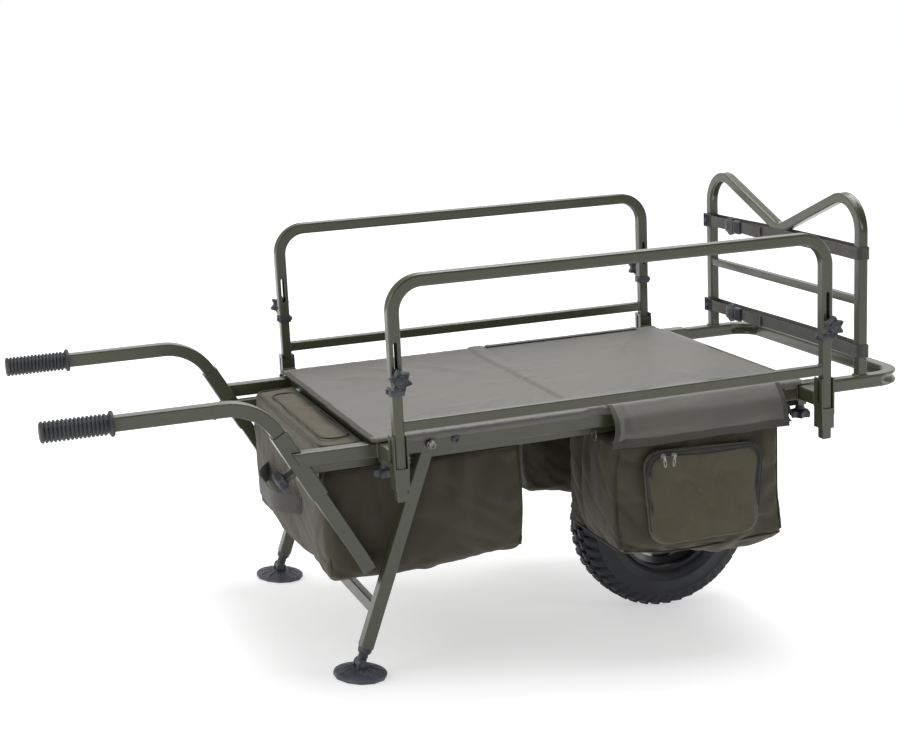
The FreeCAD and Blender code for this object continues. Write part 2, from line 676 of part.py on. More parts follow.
def buckles():
    """A side-release buckle on each strap, behind the headboard's far post."""
    solids = []
    face = BOARD_X - BOARD_TUBE / 2 - 2.4
    for z in STRAP_ZS:
        low, high = BUCKLE_Y - BUCKLE_LENGTH / 2, BUCKLE_Y + BUCKLE_LENGTH / 2
        body = box(face - BUCKLE_T - 0.3, face - 0.3, low, high, z - 16, z + 16)
        solids.append(body.makeFillet(3.0, body.Edges))
    return Part.makeCompound(solids)


def strap_anchors():
    """The ladder locks and rivets that fix the straps to the far post."""
    solids = []
    face = BOARD_X - BOARD_TUBE / 2 - 2.4
    for z in STRAP_ZS:
        plate = box(face - 5.3, face - 0.3, FRAME_Y - 16, FRAME_Y + 12, z - 14, z + 14)
        stud = rod(4.0, V(face - 5.3, FRAME_Y - 2, z), V(-1, 0, 0), 3.0)
        solids.append(plate.fuse(stud))
    return Part.makeCompound(solids)


def deck_cloth():
    """The deck cloth: a thin sheet over the rails, with a flap over each side bag."""
    edge = FRAME_Y + RAIL / 2
    top = CLOTH_Z + CLOTH_T
    parts = [box(CLOTH_X[0], CLOTH_X[1], -edge - 1, edge + 1, CLOTH_Z, top)]
    for _, side in SIDES:
        y0, y1 = sorted((side * (edge + 0.8), side * (edge + 3.3)))
        parts.append(box(24, BAY - 22, y0, y1, 444, top))
        outside = [(edge + 0.8, top), (edge + 3.3, top), (edge + 12.5, 446), (346, 432), (353, 414), (353, 384)]
        inside = [(350.5, 384), (350.5, 413.5), (344, 430.3), (edge + 11.5, 443.5), (edge + 0.8, 448)]
        points = [V(FLAP_X[0], side * y, z) for y, z in outside + inside]
        flap = Part.Face(Part.makePolygon(points + points[:1]))
        parts.append(flap.extrude(V(FLAP_X[1] - FLAP_X[0], 0, 0)))
    return merge(parts)


def rear_bag():
    """The rear bag: a deep body between the legs, and a raised lid between the rear rails."""
    body = box(BAG_X[0], BAG_X[1], -BAG_HALF, BAG_HALF, BAG_Z[0], BAG_Z[1])
    lid = box(BAG_X[0] + 4, LID_FRONT_X, -LID_HALF, LID_HALF, BAG_Z[1], LID_Z)
    low = BAG_Z[0] + 1
    edges = [e for e in body.Edges if min(v.Point.z for v in e.Vertexes) < low]
    whole = body.makeFillet(24.0, edges).fuse(lid).removeSplitter()
    w = BAG_WALL
    side = BAG_HALF - w - 4
    inside = box(BAG_X[0] + w + 4, BAG_X[1] - w - 4, -side, side, BAG_Z[0] + w, BAG_Z[1] - w)
    return whole.cut(inside)


def grab_loop():
    """A webbing loop on the bag's rear end, bowed outwards."""
    x = BAG_X[0] - 0.3
    half = GRAB_HALF
    inside = half - GRAB_T
    low = GRAB_Z - GRAB_WIDTH / 2
    outer = Part.Arc(V(x, half, low), V(x - GRAB_BOW, 0, low), V(x, -half, low)).toShape()
    inner = Part.Arc(V(x, inside, low), V(x - GRAB_BOW + GRAB_T, 0, low), V(x, -inside, low)).toShape()
    ends = [Part.LineSegment(V(x, s * half, low), V(x, s * inside, low)).toShape() for s in (1, -1)]
    face = Part.makeFace(Part.Wire(Part.__sortEdges__([outer, inner] + ends)), "Part::FaceMakerSimple")
    return face.extrude(V(0, 0, GRAB_WIDTH))


def pannier(side):
    """A side bag under the deck, beside the wheel, with a raised front pocket."""
    y0, y1 = sorted((side * PANNIER_Y[0], side * PANNIER_Y[1]))
    body = box(PANNIER_X[0], PANNIER_X[1], y0, y1, PANNIER_Z[0], PANNIER_Z[1])
    upright = [e for e in body.Edges if abs(e.Vertexes[0].Point.z - e.Vertexes[1].Point.z) > 1]
    body = body.makeFillet(22.0, upright)
    a, b = sorted((side * (PANNIER_Y[1] - 1), side * (PANNIER_Y[1] + POCKET_OUT)))
    pocket = box(POCKET_X[0], POCKET_X[1], a, b, POCKET_Z[0], POCKET_Z[1])
    whole = body.fuse(pocket).removeSplitter()
    w = BAG_WALL + 4
    z0, z1 = PANNIER_Z
    return whole.cut(box(PANNIER_X[0] + w, PANNIER_X[1] - w, y0 + w, y1 - w, z0 + w, z1 - w))


def zip_slider(x):
    """A zip slider with its puller, on the near pocket's top run."""
    y = -ZIP_Y
    body = box(x - 5, x + 5, y - 4.5, y, ZIP_Z - 4, ZIP_Z + 4)
    bail = box(x - 2, x + 2, y - 7.0, y - 4.4, ZIP_Z - 4, ZIP_Z + 3)
    tab = box(x - 3.5, x + 3.5, y - 6.5, y - 4.6, ZIP_Z - 30, ZIP_Z - 3)
    return merge([body, bail, tab])


def d_rings():
    """A wire ring at the rear corner of each flap, under the main rail."""
    solids = []
    for _, side in SIDES:
        ring = Part.makeTorus(11.0, 1.6)
        turn = FreeCAD.Rotation(V(0, 0, 1), V(0, 1, 0))
        ring.Placement = FreeCAD.Placement(V(408, side * (FRAME_Y + 12), RAIL_Z - RAIL / 2 - 13.2), turn)
        solids.append(ring)
    return Part.makeCompound(solids)


def nodes():
    """Every node of the level cart, by name."""
    made = {}
    for name, side in SIDES:
        made["rear_rail_" + name], made["lower_rail_" + name] = rear_rail(side)
        made["main_rail_" + name] = main_rail(side)
        made["handle_tube_" + name] = handle_tube(side)
        made["grip_" + name] = grip(side)
        made["handle_knob_" + name] = handle_knob(side)
        made["wheel_fork_" + name] = wheel_fork(side)
        made["side_frame_" + name] = side_frame(side)
        made["hoop_" + name] = hoop(side)
        made["hoop_collars_" + name] = collars(side)
        made["foot_stem_" + name] = foot_stem(side)
        made["foot_pad_" + name] = foot_pad(side)
        made["pannier_" + name] = pannier(side)
        for end, x in ENDS:
            made["outrigger_" + end + "_" + name] = outrigger(x, side)
            made["width_knob_" + end + "_" + name] = width_knob(x, side)
            made["hoop_knob_" + end + "_" + name] = hoop_knob(x, side)
    made["cross_sleeve_rear"] = cross_sleeve(0.0, False)
    made["cross_sleeve_front"] = cross_sleeve(BAY, True)
    made["cross_tubes"] = cross_tubes()
    made["tyre"] = tyre()
    made["rim"] = rim()
    made["wheel_bearings"] = bearings()
    made["tyre_valve"] = valve()
    made["axle"] = axle()
    made["axle_nuts"] = axle_nuts()
    made["leg_frame"] = leg_frame()
    made["leg_bolts"] = leg_bolts()
    made["front_loop"] = front_loop()
    made["headboard"] = headboard()
    made["headboard_straps"] = strap_loops()
    made["strap_buckles"] = buckles()
    made["strap_anchors"] = strap_anchors()
    made["deck_cloth"] = deck_cloth()
    made["rear_bag"] = rear_bag()
    made["grab_loop"] = grab_loop()
    made["zip_slider_left"] = zip_slider(ZIP_XS[0])
    made["zip_slider_right"] = zip_slider(ZIP_XS[1])
    made["d_rings"] = d_rings()
    return made


def main():
    os.makedirs("parts", exist_ok=True)
    placement = standing()
    for name, shape in nodes().items():
        stood = shape.copy()
        stood.Placement = placement.multiply(shape.Placement)
        stood.exportStep("parts/" + name + ".step")


main()
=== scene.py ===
"""A one-wheel game cart dressed round its CAD frame: cloth, webbing, bent tube, moulded plastic and rubber."""
import json
import math
import random

import bmesh
import bpy
from bpy.props import FloatProperty, FloatVectorProperty, IntProperty, PointerProperty
from mathutils import Matrix, Vector


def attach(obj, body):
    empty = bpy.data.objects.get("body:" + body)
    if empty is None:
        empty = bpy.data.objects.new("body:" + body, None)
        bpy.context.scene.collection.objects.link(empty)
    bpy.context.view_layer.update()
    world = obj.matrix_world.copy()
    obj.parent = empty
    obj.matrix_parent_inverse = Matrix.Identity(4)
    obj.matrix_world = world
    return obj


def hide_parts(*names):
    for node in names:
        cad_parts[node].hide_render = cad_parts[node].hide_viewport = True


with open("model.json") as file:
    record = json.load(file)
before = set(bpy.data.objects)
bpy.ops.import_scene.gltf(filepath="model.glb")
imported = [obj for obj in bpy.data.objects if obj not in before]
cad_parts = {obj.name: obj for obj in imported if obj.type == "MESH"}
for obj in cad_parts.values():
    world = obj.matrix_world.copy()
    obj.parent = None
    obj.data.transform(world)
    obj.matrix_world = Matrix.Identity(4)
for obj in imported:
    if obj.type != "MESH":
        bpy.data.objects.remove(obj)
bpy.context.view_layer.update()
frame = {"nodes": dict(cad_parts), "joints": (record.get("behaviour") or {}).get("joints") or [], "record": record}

bl_info = {
    "name": "Game Cart",
    "version": (1, 0, 0),
    "blender": (4, 5, 0),
    "location": "3D View > Sidebar > Game Cart",
    "description": "Builds the cloth, tube, rubber and plastic pieces of a one-wheel game cart round its frame",
    "category": "Object",
}

# The cart is drawn level, in metres: x = 0 at the rear side-rail posts, y = 0 on the middle plane and
# z = 0 at the ground under x = 0. LEVEL_TO_STANDING tips it onto its wheel and feet, as the frame stands.
JOINTS = {joint["name"]: joint for joint in frame["joints"]}
LIFT_AXIS = JOINTS["rail_lift_near"]["axis"]
NOSE_UP = math.atan2(-LIFT_AXIS[0], LIFT_AXIS[2])
WHEEL_R = 0.2
WHEEL_X = 0.697
WHEEL_Z = (WHEEL_R - WHEEL_X * math.sin(NOSE_UP)) / math.cos(NOSE_UP)
TIPPED = Matrix.Rotation(-NOSE_UP, 4, "Y")
LEVEL_TO_STANDING = Matrix.Translation(
    Vector(JOINTS["wheel_spin"]["pos_m"]) - TIPPED @ Vector((WHEEL_X, 0, WHEEL_Z))) @ TIPPED
SIDES = (("near", -1), ("far", 1))

BAY = 0.857               # between the rear and the front side-rail posts
ENDS = (("rear", 0.0), ("front", BAY))
FRAME_Y = 0.3           # middle of the main rails, the legs and the headboard posts
SIDE_Y = 0.389            # middle of the side rails
HANDLE_Y = 0.29
RAIL = 0.031
RAIL_Z = 0.4335
HANDLE_TUBE = 0.0254
HANDLE_Z = 0.537
HANDLE_BEND_X = -0.2218
HANDLE_SLOPE = math.radians(61.0)
HANDLE_DROP = 0.377
GRIP_END_X = -0.598
GRIP_LENGTH = 0.125
GRIP_R = 0.019
SLEEVE = 0.031
SLEEVE_KNOB = 0.14
HOOP_TUBE = 0.022
HOOP_TOP_Z = 0.7465
HOOP_CORNER_R = 0.054
HOOP_BOTTOM_Z = 0.548
HOOP_KNOB_Z = 0.579
SLOT_Z = (0.574, 0.643)
SLOT_WIDTH = 0.0076
POST_TUBE = 0.019
POST_BOTTOM_Z = 0.358
TYRE_HALF = 0.048
RIM_R = 0.108
LOOP_TUBE = 0.026
LOOP_FRONT_X = 1.101
LOOP_BEND_R = 0.057
BOARD_X = 0.994
BOARD_TUBE = 0.02
BOARD_BEND_R = 0.063
BOARD_V_Z = 0.704
BOARD_V_SLOPE = math.radians(21.8)
BOARD_V_R = 0.045
BOARD_BAR_Z = 0.596
STRAP_ZS = (0.497, 0.692)
STRAP_WIDTH = 0.025
BUCKLE_Y = 0.17
PIVOT_X = 0.083
PIVOT_Z = 0.432
LEG_LEAN = math.radians(20.6)
LEG_LENGTH = 0.396
BAG_X = (-0.112, 0.28)
BAG_Z = (0.18, 0.394)
BAG_HALF = 0.27
PANNIER_X = (0.44, 0.785)
PANNIER_Y = (0.115, 0.345)
PANNIER_Z = (0.16, 0.392)
CLOTH_X = (-0.028, 0.848)
CLOTH_Z = 0.4505
CLOTH_T = 0.0025
FLAP_X = (0.43, 0.8)


# ---------------------------------------------------------------- shader nodes

class Sock:
    """A shader socket that Python's own operators turn into Math nodes."""

    def __init__(self, tree, socket):
        self.tree = tree
        self.socket = socket

    def math(self, operation, *values):
        return self.tree.node("ShaderNodeMath", {"operation": operation}, dict(enumerate(values)))

    def __add__(self, other):
        return self.math("ADD", self, other)

    def __sub__(self, other):
        return self.math("SUBTRACT", self, other)

    def __rsub__(self, other):
        return self.math("SUBTRACT", other, self)

    def __mul__(self, other):
        return self.math("MULTIPLY", self, other)

    def __truediv__(self, other):
        return self.math("DIVIDE", self, other)

    def __pow__(self, other):
        return self.math("POWER", self, other)

    __radd__ = __add__
    __rmul__ = __mul__

    def ramp(self, low, high):
        """0 below low, 1 above high, and smooth between."""
        settings = {"interpolation_type": "SMOOTHSTEP"}
        return self.tree.node("ShaderNodeMapRange", settings, {0: self, 1: low, 2: high, 3: 0.0, 4: 1.0})


class Finish:
    """One material: its node tree, and the few node types that the cart's finishes use."""

    def __init__(self, name, colour):
        self.material = bpy.data.materials.new(name)
        self.material.use_nodes = True
        self.material.diffuse_color = (*colour, 1)
        self.nodes = self.material.node_tree.nodes
        self.links = self.material.node_tree.links
        self.shader = next(n for n in self.nodes if n.type == "BSDF_PRINCIPLED")
        self.place = self.node("ShaderNodeTexCoord", {}, {}, "Object")

    def node(self, kind, settings, sockets, out=0):
        """A node of that type: its settings first, then the values or links of its sockets."""
        made = self.nodes.new(kind)
        for key, value in settings.items():
            setattr(made, key, value)
        self.feed(made, sockets)
        return Sock(self, made.outputs[out])

    def feed(self, made, sockets):
        for key, value in sockets.items():
            if isinstance(value, Sock):
                self.links.new(value.socket, made.inputs[key])
            else:
                made.inputs[key].default_value = value

    def noise(self, scale, detail=2.0, roughness=0.5, stretch=None):
        place = self.place if stretch is None else self.stretched(stretch)
        sockets = {"Vector": place, "Scale": scale, "Detail": detail, "Roughness": roughness}
        return self.node("ShaderNodeTexNoise", {}, sockets)

    def stretched(self, factors):
        return self.node("ShaderNodeVectorMath", {"operation": "MULTIPLY"}, {0: self.place, 1: factors})

    def axes(self):
        split = self.nodes.new("ShaderNodeSeparateXYZ")
        self.links.new(self.place.socket, split.inputs[0])
        return [Sock(self, output) for output in split.outputs]

    def waves(self, coordinate, pitch):
        """Ridges of that pitch along a coordinate, from -1 to 1."""
        return coordinate.math("SINE", coordinate * (2 * math.pi / pitch), 0.0)

    def blend(self, factor, first, second):
        colours = {0: factor}
        for index, colour in ((6, first), (7, second)):
            colours[index] = colour if isinstance(colour, Sock) else (*colour, 1)
        return self.node("ShaderNodeMix", {"data_type": "RGBA"}, colours, 2)

    def bump(self, height, distance, strength=1.0):
        """A Bump node over a height in metres."""
        sockets = {"Height": height, "Distance": distance, "Strength": strength}
        return self.node("ShaderNodeBump", {}, sockets, "Normal")

    def done(self, **sockets):
        names = {"colour": "Base Color", "rough": "Roughness", "metal": "Metallic", "normal": "Normal",
                 "coat": "Coat Weight", "coat_rough": "Coat Roughness", "sheen": "Sheen Weight",
                 "sheen_rough": "Sheen Roughness", "specular": "Specular IOR Level",
                 "glow": "Emission Color"}
        self.feed(self.shader, {names[key]: value for key, value in sockets.items()})
        return self.material


def shade(colour, factor):
    """The colour, lighter or darker."""
    return tuple(min(1.0, channel * factor) for channel in colour)


def powder_coat(colour):
    """Satin paint baked on steel tube: fine orange peel, faint rubs and dust."""
    look = Finish("powder_coat", colour)
    peel = look.noise(900.0, 2.0)
    patches = look.noise(9.0, 4.0, 0.6)
    scuffs = look.noise(60.0, 6.0, 0.75, (1.0, 1.0, 0.25)).ramp(0.62, 0.72)
    tint = look.blend(patches.ramp(0.3, 0.7), shade(colour, 0.94), shade(colour, 1.07))
    tint = look.blend(scuffs * 0.35, tint, shade(colour, 1.7))
    rough = 0.3 + patches * 0.08 + scuffs * 0.1
    return look.done(colour=tint, rough=rough, normal=look.bump(peel, 0.00012, 0.35), coat=0.35, coat_rough=0.16)


def moulded(name, colour, rough=0.45, speck=1.0):
    """Moulded nylon or acetal: a fine spark-eroded grain, and a little mottling."""
    look = Finish(name, colour)
    grain = look.noise(1400.0, 2.0)
    cloud = look.noise(45.0, 4.0, 0.6)
    tint = look.blend(cloud.ramp(0.35, 0.7), shade(colour, 0.85), shade(colour, 1.0 + 0.3 * speck))
    return look.done(colour=tint, rough=rough + cloud * 0.12, normal=look.bump(grain, 0.00008, 0.5))


def rubber(name, colour, rough, dust):
    """Vulcanised rubber with a bloom of dust in its texture."""
    look = Finish(name, colour)
    grain = look.noise(700.0, 3.0, 0.6)
    bloom = look.noise(14.0, 5.0, 0.65).ramp(0.45, 0.75)
    tint = look.blend(bloom * dust, colour, shade(colour, 2.6))
    return look.done(colour=tint, rough=rough + bloom * 0.12, normal=look.bump(grain, 0.0001, 0.5), specular=0.4)


def plated(name, colour, rough):
    """Zinc or nickel plate: bright, with brushed streaks and dull spots."""
    look = Finish(name, colour)
    streaks = look.noise(240.0, 3.0, 0.6, (1.0, 6.0, 1.0))
    spots = look.noise(110.0, 4.0, 0.7).ramp(0.5, 0.75)
    tint = look.blend(spots, colour, shade(colour, 0.6))
    return look.done(colour=tint, metal=1.0 - spots * 0.25, rough=rough + streaks * 0.15 + spots * 0.15,
                     normal=look.bump(streaks, 0.00005, 0.4))


def woven(name, colour, pitch, contrast=0.25, patch=12.0, rough=0.85, sheen=0.12, grime=0.3):
    """Plain-woven cloth: crossing threads, uneven yarn, faded and darker patches."""
    look = Finish(name, colour)
    x, y, z = look.axes()
    across = look.waves(x + y * 0.61, pitch)
    along = look.waves(z + y * 0.35, pitch * 1.05)
    threads = across * along
    yarn = look.noise(520.0, 2.0, 0.6, (1.0, 1.0, 0.35)) + look.noise(520.0, 2.0, 0.6, (0.3, 0.3, 1.0))
    cloud = look.noise(patch, 5.0, 0.6)
    weave = (threads * 0.5 + 0.5) * 0.6 + yarn * 0.2
    fade = look.blend(weave, shade(colour, 1 - contrast), shade(colour, 1 + contrast))
    stained = look.blend(cloud.ramp(0.42, 0.72) * grime, fade, shade(colour, 0.62))
    height = threads * 0.5 + yarn * 0.8
    relief = look.bump(height, 0.00025, 0.6)
    return look.done(colour=stained, rough=rough, normal=relief, sheen=sheen, sheen_rough=0.5)


def coated_cloth(name, colour, pitch=0.0012):
    """Coated polyester: close weave under a thin plastic film, with long shallow creases."""
    look = Finish(name, colour)
    x, y, z = look.axes()
    threads = look.waves(x, pitch) * look.waves(y + z * 0.7, pitch)
    creases = look.noise(16.0, 5.0, 0.55, (0.35, 1.0, 1.0))
    cloud = look.noise(5.0, 4.0, 0.6)
    warm = tuple(channel * share for channel, share in zip(colour, (1.16, 1.04, 0.94)))
    tint = look.blend(cloud.ramp(0.3, 0.7), shade(colour, 0.94), warm)
    tint = look.blend((threads * 0.5 + 0.5) * 0.25, tint, shade(colour, 0.8))
    height = creases * 4.0 + threads * 0.08
    return look.done(colour=tint, rough=0.46 + cloud * 0.1, normal=look.bump(height, 0.0006, 0.55), sheen=0.05)


def webbing_weave(name, colour):
    """Flat webbing: ribs across the band and a herringbone of fine threads."""
    look = Finish(name, colour)
    x, y, z = look.axes()
    ribs = look.waves(x + y, 0.0022)
    cords = look.waves(z, 0.0016)
    fluff = look.noise(800.0, 3.0, 0.7)
    tint = look.blend(ribs * 0.3 + fluff * 0.4, shade(colour, 0.75), shade(colour, 1.35))
    relief = look.bump(ribs * 0.5 + cords * 0.5 + fluff, 0.0003, 0.6)
    return look.done(colour=tint, rough=0.8, normal=relief, sheen=0.3, sheen_rough=0.5)


# ---------------------------------------------------------------- mesh helpers

SCALLOP = 0.0042           # length of one scallop of a weld bead
SCALLOP_POINTS = 2.5


def joined(parts):
    """One list of points and one of faces, from (points, faces) parts."""
    points, faces = [], []
    for part_points, part_faces in parts:
        first = len(points)
        points.extend(tuple(p) for p in part_points)
        faces.extend(tuple(first + i for i in face) for face in part_faces)
    return points, faces


def build(name, parts, look, sharp=35.0):
    """An object of those parts, shaded smooth up to the sharp angle, on the standing cart."""
    points, faces = joined(parts)
    mesh = bpy.data.meshes.new(name)
    mesh.from_pydata(points, [], faces)
    mesh.transform(LEVEL_TO_STANDING)
    mesh.materials.append(look)
    mesh.validate()
    made = bpy.data.objects.new(name, mesh)
    bpy.context.scene.collection.objects.link(made)
    smooth(made, sharp)
    return made


def smooth(made, sharp):
    """Shades the object smooth up to the sharp angle, in degrees."""
    made.data.shade_smooth()
    made.data.set_sharp_from_angle(angle=math.radians(sharp))


def place(made, body, slot, *stands_for):
    """The piece rides on its body and stands for those CAD nodes, which are hidden. The slot is not used."""
    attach(made, body)
    if stands_for:
        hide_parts(*stands_for)
    return made


def add(name, parts, look, body, slot, *stands_for, sharp=35.0):
    """A finished piece in one of the LOOKS: built, and put on its body."""
    return place(build(name, parts, LOOKS[look], sharp), body, slot, *stands_for)


def settled(made, *modifiers):
    """The modifiers, given as (type, settings), worked into the object's mesh."""
    for kind, settings in modifiers:
        modifier = made.modifiers.new(kind, kind)
        for key, value in settings.items():
            setattr(modifier, key, value)
    shape = made.evaluated_get(bpy.context.evaluated_depsgraph_get())
    mesh = bpy.data.meshes.new_from_object(shape)
    made.modifiers.clear()
    made.data = mesh
    return made


def mapped(part, move):
    """The part with each point moved by a function or a matrix."""
    points, faces = part
    if isinstance(move, Matrix):
        return [move @ Vector(p) for p in points], faces
    return [move(*p) for p in points], faces


def mirrored(part):
    """The part on the other side of the cart's middle plane."""
    points, faces = part
    return [(x, -y, z) for x, y, z in points], [tuple(reversed(face)) for face in faces]


def on_side(part, side):
    """A part drawn on the near side, put on either side."""
    return part if side < 0 else mirrored(part)


def facing(at, out, turn=0.0):
    """The matrix that puts something drawn round +Z at a point, pointing out."""
    spin = Vector(out).to_track_quat("Z", "Y").to_matrix().to_4x4()
    return Matrix.Translation(Vector(at)) @ spin @ Matrix.Rotation(turn, 4, "Z")


def loft(rings, closed=True, capped=True, around=False):
    """Faces between rings of points. closed joins each ring's ends, around joins the last ring to the first."""
    count = len(rings[0])
    points = [p for ring in rings for p in ring]
    faces = []
    spans = len(rings) if around else len(rings) - 1
    steps = count if closed else count - 1
    for i in range(spans):
        a, b = i * count, ((i + 1) % len(rings)) * count
        for j in range(steps):
            k = (j + 1) % count
            faces.append((a + j, a + k, b + k, b + j))
    if capped and not around:
        faces.append(tuple(reversed(range(count))))
        last = (len(rings) - 1) * count
        faces.append(tuple(range(last, last + count)))
    return points, faces


def turned(profile, steps=32, capped=True, wobble=None):
    """A round part about +Z from (radius, height) points; wobble(angle, height) scales the radius."""
    rings = []
    for radius, height in profile:
        ring = []
        for i in range(steps):
            a = 2 * math.pi * i / steps
            r = radius * (wobble(a, height) if wobble else 1.0)
            ring.append((r * math.cos(a), r * math.sin(a), height))
        rings.append(ring)
    return loft(rings, capped=capped)


def block(size, edge=0.0008):
    """A box about the origin with eased edges."""
    a, b, c = (s / 2 for s in size)
    rings = []
    for z, inset in ((-c, edge), (-c + edge, 0), (c - edge, 0), (c, edge)):
        x, y = a - inset, b - inset
        cut = min(edge, x, y)
        rings.append([(x, y - cut, z), (x - cut, y, z), (cut - x, y, z), (-x, y - cut, z),
                      (-x, cut - y, z), (cut - x, -y, z), (x - cut, -y, z), (x, cut - y, z)])
    return loft(rings)


def square_section(width, height, corner, face_steps=6, corner_steps=4):
    """Points round a square tube's outside, as (outward, across), with how far a crimp pulls each one in."""
    a, b = width / 2 - corner, height / 2 - corner
    ring = []
    for quarter, (sx, sy) in enumerate(((1, 1), (-1, 1), (-1, -1), (1, -1))):
        for i in range(corner_steps + 1):
            turn = math.pi / 2 * (quarter + i / corner_steps)
            ring.append((sx * a + corner * math.cos(turn), sy * b + corner * math.sin(turn)))
        ahead = ((-1, 1), (-1, -1), (1, -1), (1, 1))[quarter]
        last = ring[-1]
        turn = math.pi / 2 * (quarter + 1)
        target = (ahead[0] * a + corner * math.cos(turn), ahead[1] * b + corner * math.sin(turn))
        for i in range(1, face_steps):
            t = i / face_steps
            ring.append((last[0] + (target[0] - last[0]) * t, last[1] + (target[1] - last[1]) * t))
    crimp = []
    for u, v in ring:
        depth = math.exp(-(v / (height * 0.2)) ** 2) if abs(v) < b else 0.0
        crimp.append(-math.copysign(depth, u) if abs(u) > a else 0.0)
    return ring, crimp


def bent_path(corners, radii, step=0.07):
    """(point, direction, bend share) along straight runs joined by arcs; the share is 1 inside a bend."""
    corners = [Vector(p) for p in corners]
    path = [(corners[0], (corners[1] - corners[0]).normalized(), 0.0)]
    for i in range(1, len(corners) - 1):
        before = (corners[i] - corners[i - 1]).normalized()
        after = (corners[i + 1] - corners[i]).normalized()
        turn = before.angle(after)
        trim = radii[i - 1] * math.tan(turn / 2)
        axis = before.cross(after).normalized()
        start = corners[i] - before * trim
        centre = start + axis.cross(before) * radii[i - 1]
        steps = max(3, round(turn / step))
        for k in range(steps + 1):
            spin = Matrix.Rotation(turn * k / steps, 3, axis)
            share = min(1.0, 5.0 * min(k, steps - k) / steps)
            path.append((centre + spin @ (start - centre), spin @ before, share * share * (3 - 2 * share)))
    path.append((corners[-1], (corners[-1] - corners[-2]).normalized(), 0.0))
    return path


def swept(path, normal, ring, crimp=None, crimp_depth=0.0, capped=True):
    """A tube along the path: ring points are (outward, across), with across along the plane's normal."""
    normal = Vector(normal)
    rings = []
    for point, along, share in path:
        outward = along.cross(normal)
        made = []
        for k, (u, v) in enumerate(ring):
            pull = crimp[k] * crimp_depth * share if crimp else 0.0
            made.append(point + outward * (u + pull) + normal * v)
        rings.append(made)
    return loft(rings, capped=capped)


def hollow(path, normal, width, wall, corner=0.0025, crimp_depth=0.0):
    """A square tube with a bore: outer and inner skins joined at both ends."""
    ring, crimp = square_section(width, width, corner)
    inner = width - 2 * wall
    bore, _ = square_section(inner, inner, max(corner - wall, 0.0006))
    outer_points, outer_faces = swept(path, normal, ring, crimp, crimp_depth, capped=False)
    inner_points, inner_faces = swept(path, normal, bore, crimp, crimp_depth, capped=False)
    first, count = len(outer_points), len(ring)
    faces = outer_faces + [tuple(first + i for i in reversed(face)) for face in inner_faces]
    last = len(outer_points) - count
    for j in range(count):
        k = (j + 1) % count
        faces.append((k, j, first + j, first + k))
        faces.append((last + j, last + k, first + last + k, first + last + j))
    return list(outer_points) + list(inner_points), faces


def bead(route, radius, seed):
    """A weld bead round a closed route: overlapping scallops of uneven size."""
    rng = random.Random(seed)
    points = spaced(route, SCALLOP / SCALLOP_POINTS, True)
    centre = sum((Vector(p) for p in points), Vector()) / len(points)
    rings = []
    count = len(points)
    for i in range(count):
        here, ahead = Vector(points[i]), Vector(points[(i + 1) % count])
        along = (ahead - here).normalized() if (ahead - here).length > 0 else Vector((0, 0, 1))
        out = here - centre
        if abs(along.dot(out)) > 0.99 * out.length:
            side = along.orthogonal().normalized()
        else:
            side = (out - along * along.dot(out)).normalized()
        up = along.cross(side)
        size = radius * (0.86 + 0.22 * abs(math.sin(math.pi * i / SCALLOP_POINTS)) + rng.uniform(-0.06, 0.06))
        rings.append([here + side * size * math.cos(2 * math.pi * k / 8) + up * size * math.sin(2 * math.pi * k / 8)
                      for k in range(8)])
    return loft(rings, around=True)


def spaced(route, gap, closed=False):
    """Points at even steps along a route."""
    route = [Vector(p) for p in route]
    if closed:
        route = route + route[:1]
    lengths = [0.0]
    for a, b in zip(route, route[1:]):
        lengths.append(lengths[-1] + (b - a).length)
    steps = max(4, round(lengths[-1] / gap))
    made = []
    for i in range(steps if closed else steps + 1):
        want = lengths[-1] * i / steps
        k = max(j for j in range(len(lengths) - 1) if lengths[j] <= want + 1e-12)
        t = (want - lengths[k]) / max(lengths[k + 1] - lengths[k], 1e-12)
        made.append(route[k].lerp(route[k + 1], t))
    return made


def square_route(centre, first, second, half_first, half_second):
    """A rectangle's corners about a centre, along two directions."""
    centre, first, second = Vector(centre), Vector(first), Vector(second)
    return [centre + first * half_first * a + second * half_second * b
            for a, b in ((1, 1), (0, 1), (-1, 1), (-1, 0), (-1, -1), (0, -1), (1, -1), (1, 0))]


def directions(route, closed=False):
    """The direction of a route at each of its points."""
    count = len(route)
    made = []
    for i in range(count):
        before = route[i - 1] if (closed or i) else route[i]
        after = route[(i + 1) % count] if (closed or i < count - 1) else route[i]
        made.append((Vector(after) - Vector(before)).normalized())
    return made


def ribbon(route, across, width, thickness, bulge=0.0):
    """Flat webbing along a route: rounded edges, and thicker in the middle by bulge."""
    across = Vector(across).normalized()
    edge = 0.5 - 0.25 * thickness / width
    top = [(-edge, 0.5), (-0.25, 0.5), (0.0, 0.5), (0.25, 0.5), (edge, 0.5)]
    ends = [(-0.5, 0.0)] + top + [(0.5, 0.0)] + [(u, -v) for u, v in reversed(top)]
    rings = []
    for point, along in zip(route, directions(route)):
        out = along.cross(across).normalized()
        rings.append([Vector(point) + across * width * u + out * thickness * v * (1 + bulge * (1 - 4 * u * u))
                      for u, v in ends])
    return loft(rings)


def ease(t):
    """0 to 1 with flat ends."""
    t = min(1.0, max(0.0, t))
    return t * t * (3 - 2 * t)


def hump(t, middle, half):
    """1 at the middle, 0 beyond half the width, and smooth between."""
    return ease(1 - abs(t - middle) / half)


def ripple(x, y, seed):
    """A smooth uneven surface between about -1 and 1, the same each time."""
    rng = random.Random(seed)
    total = 0.0
    for i in range(5):
        fx, fy, phase = rng.uniform(-1, 1), rng.uniform(-1, 1), rng.uniform(0, 6.28)
        total += math.sin((fx * x + fy * y) * (1.4 ** i) * 6.28 + phase) / (1.25 ** i)
    return total / 3.0


# ---------------------------------------------------------------- sizes and colours that a user would change

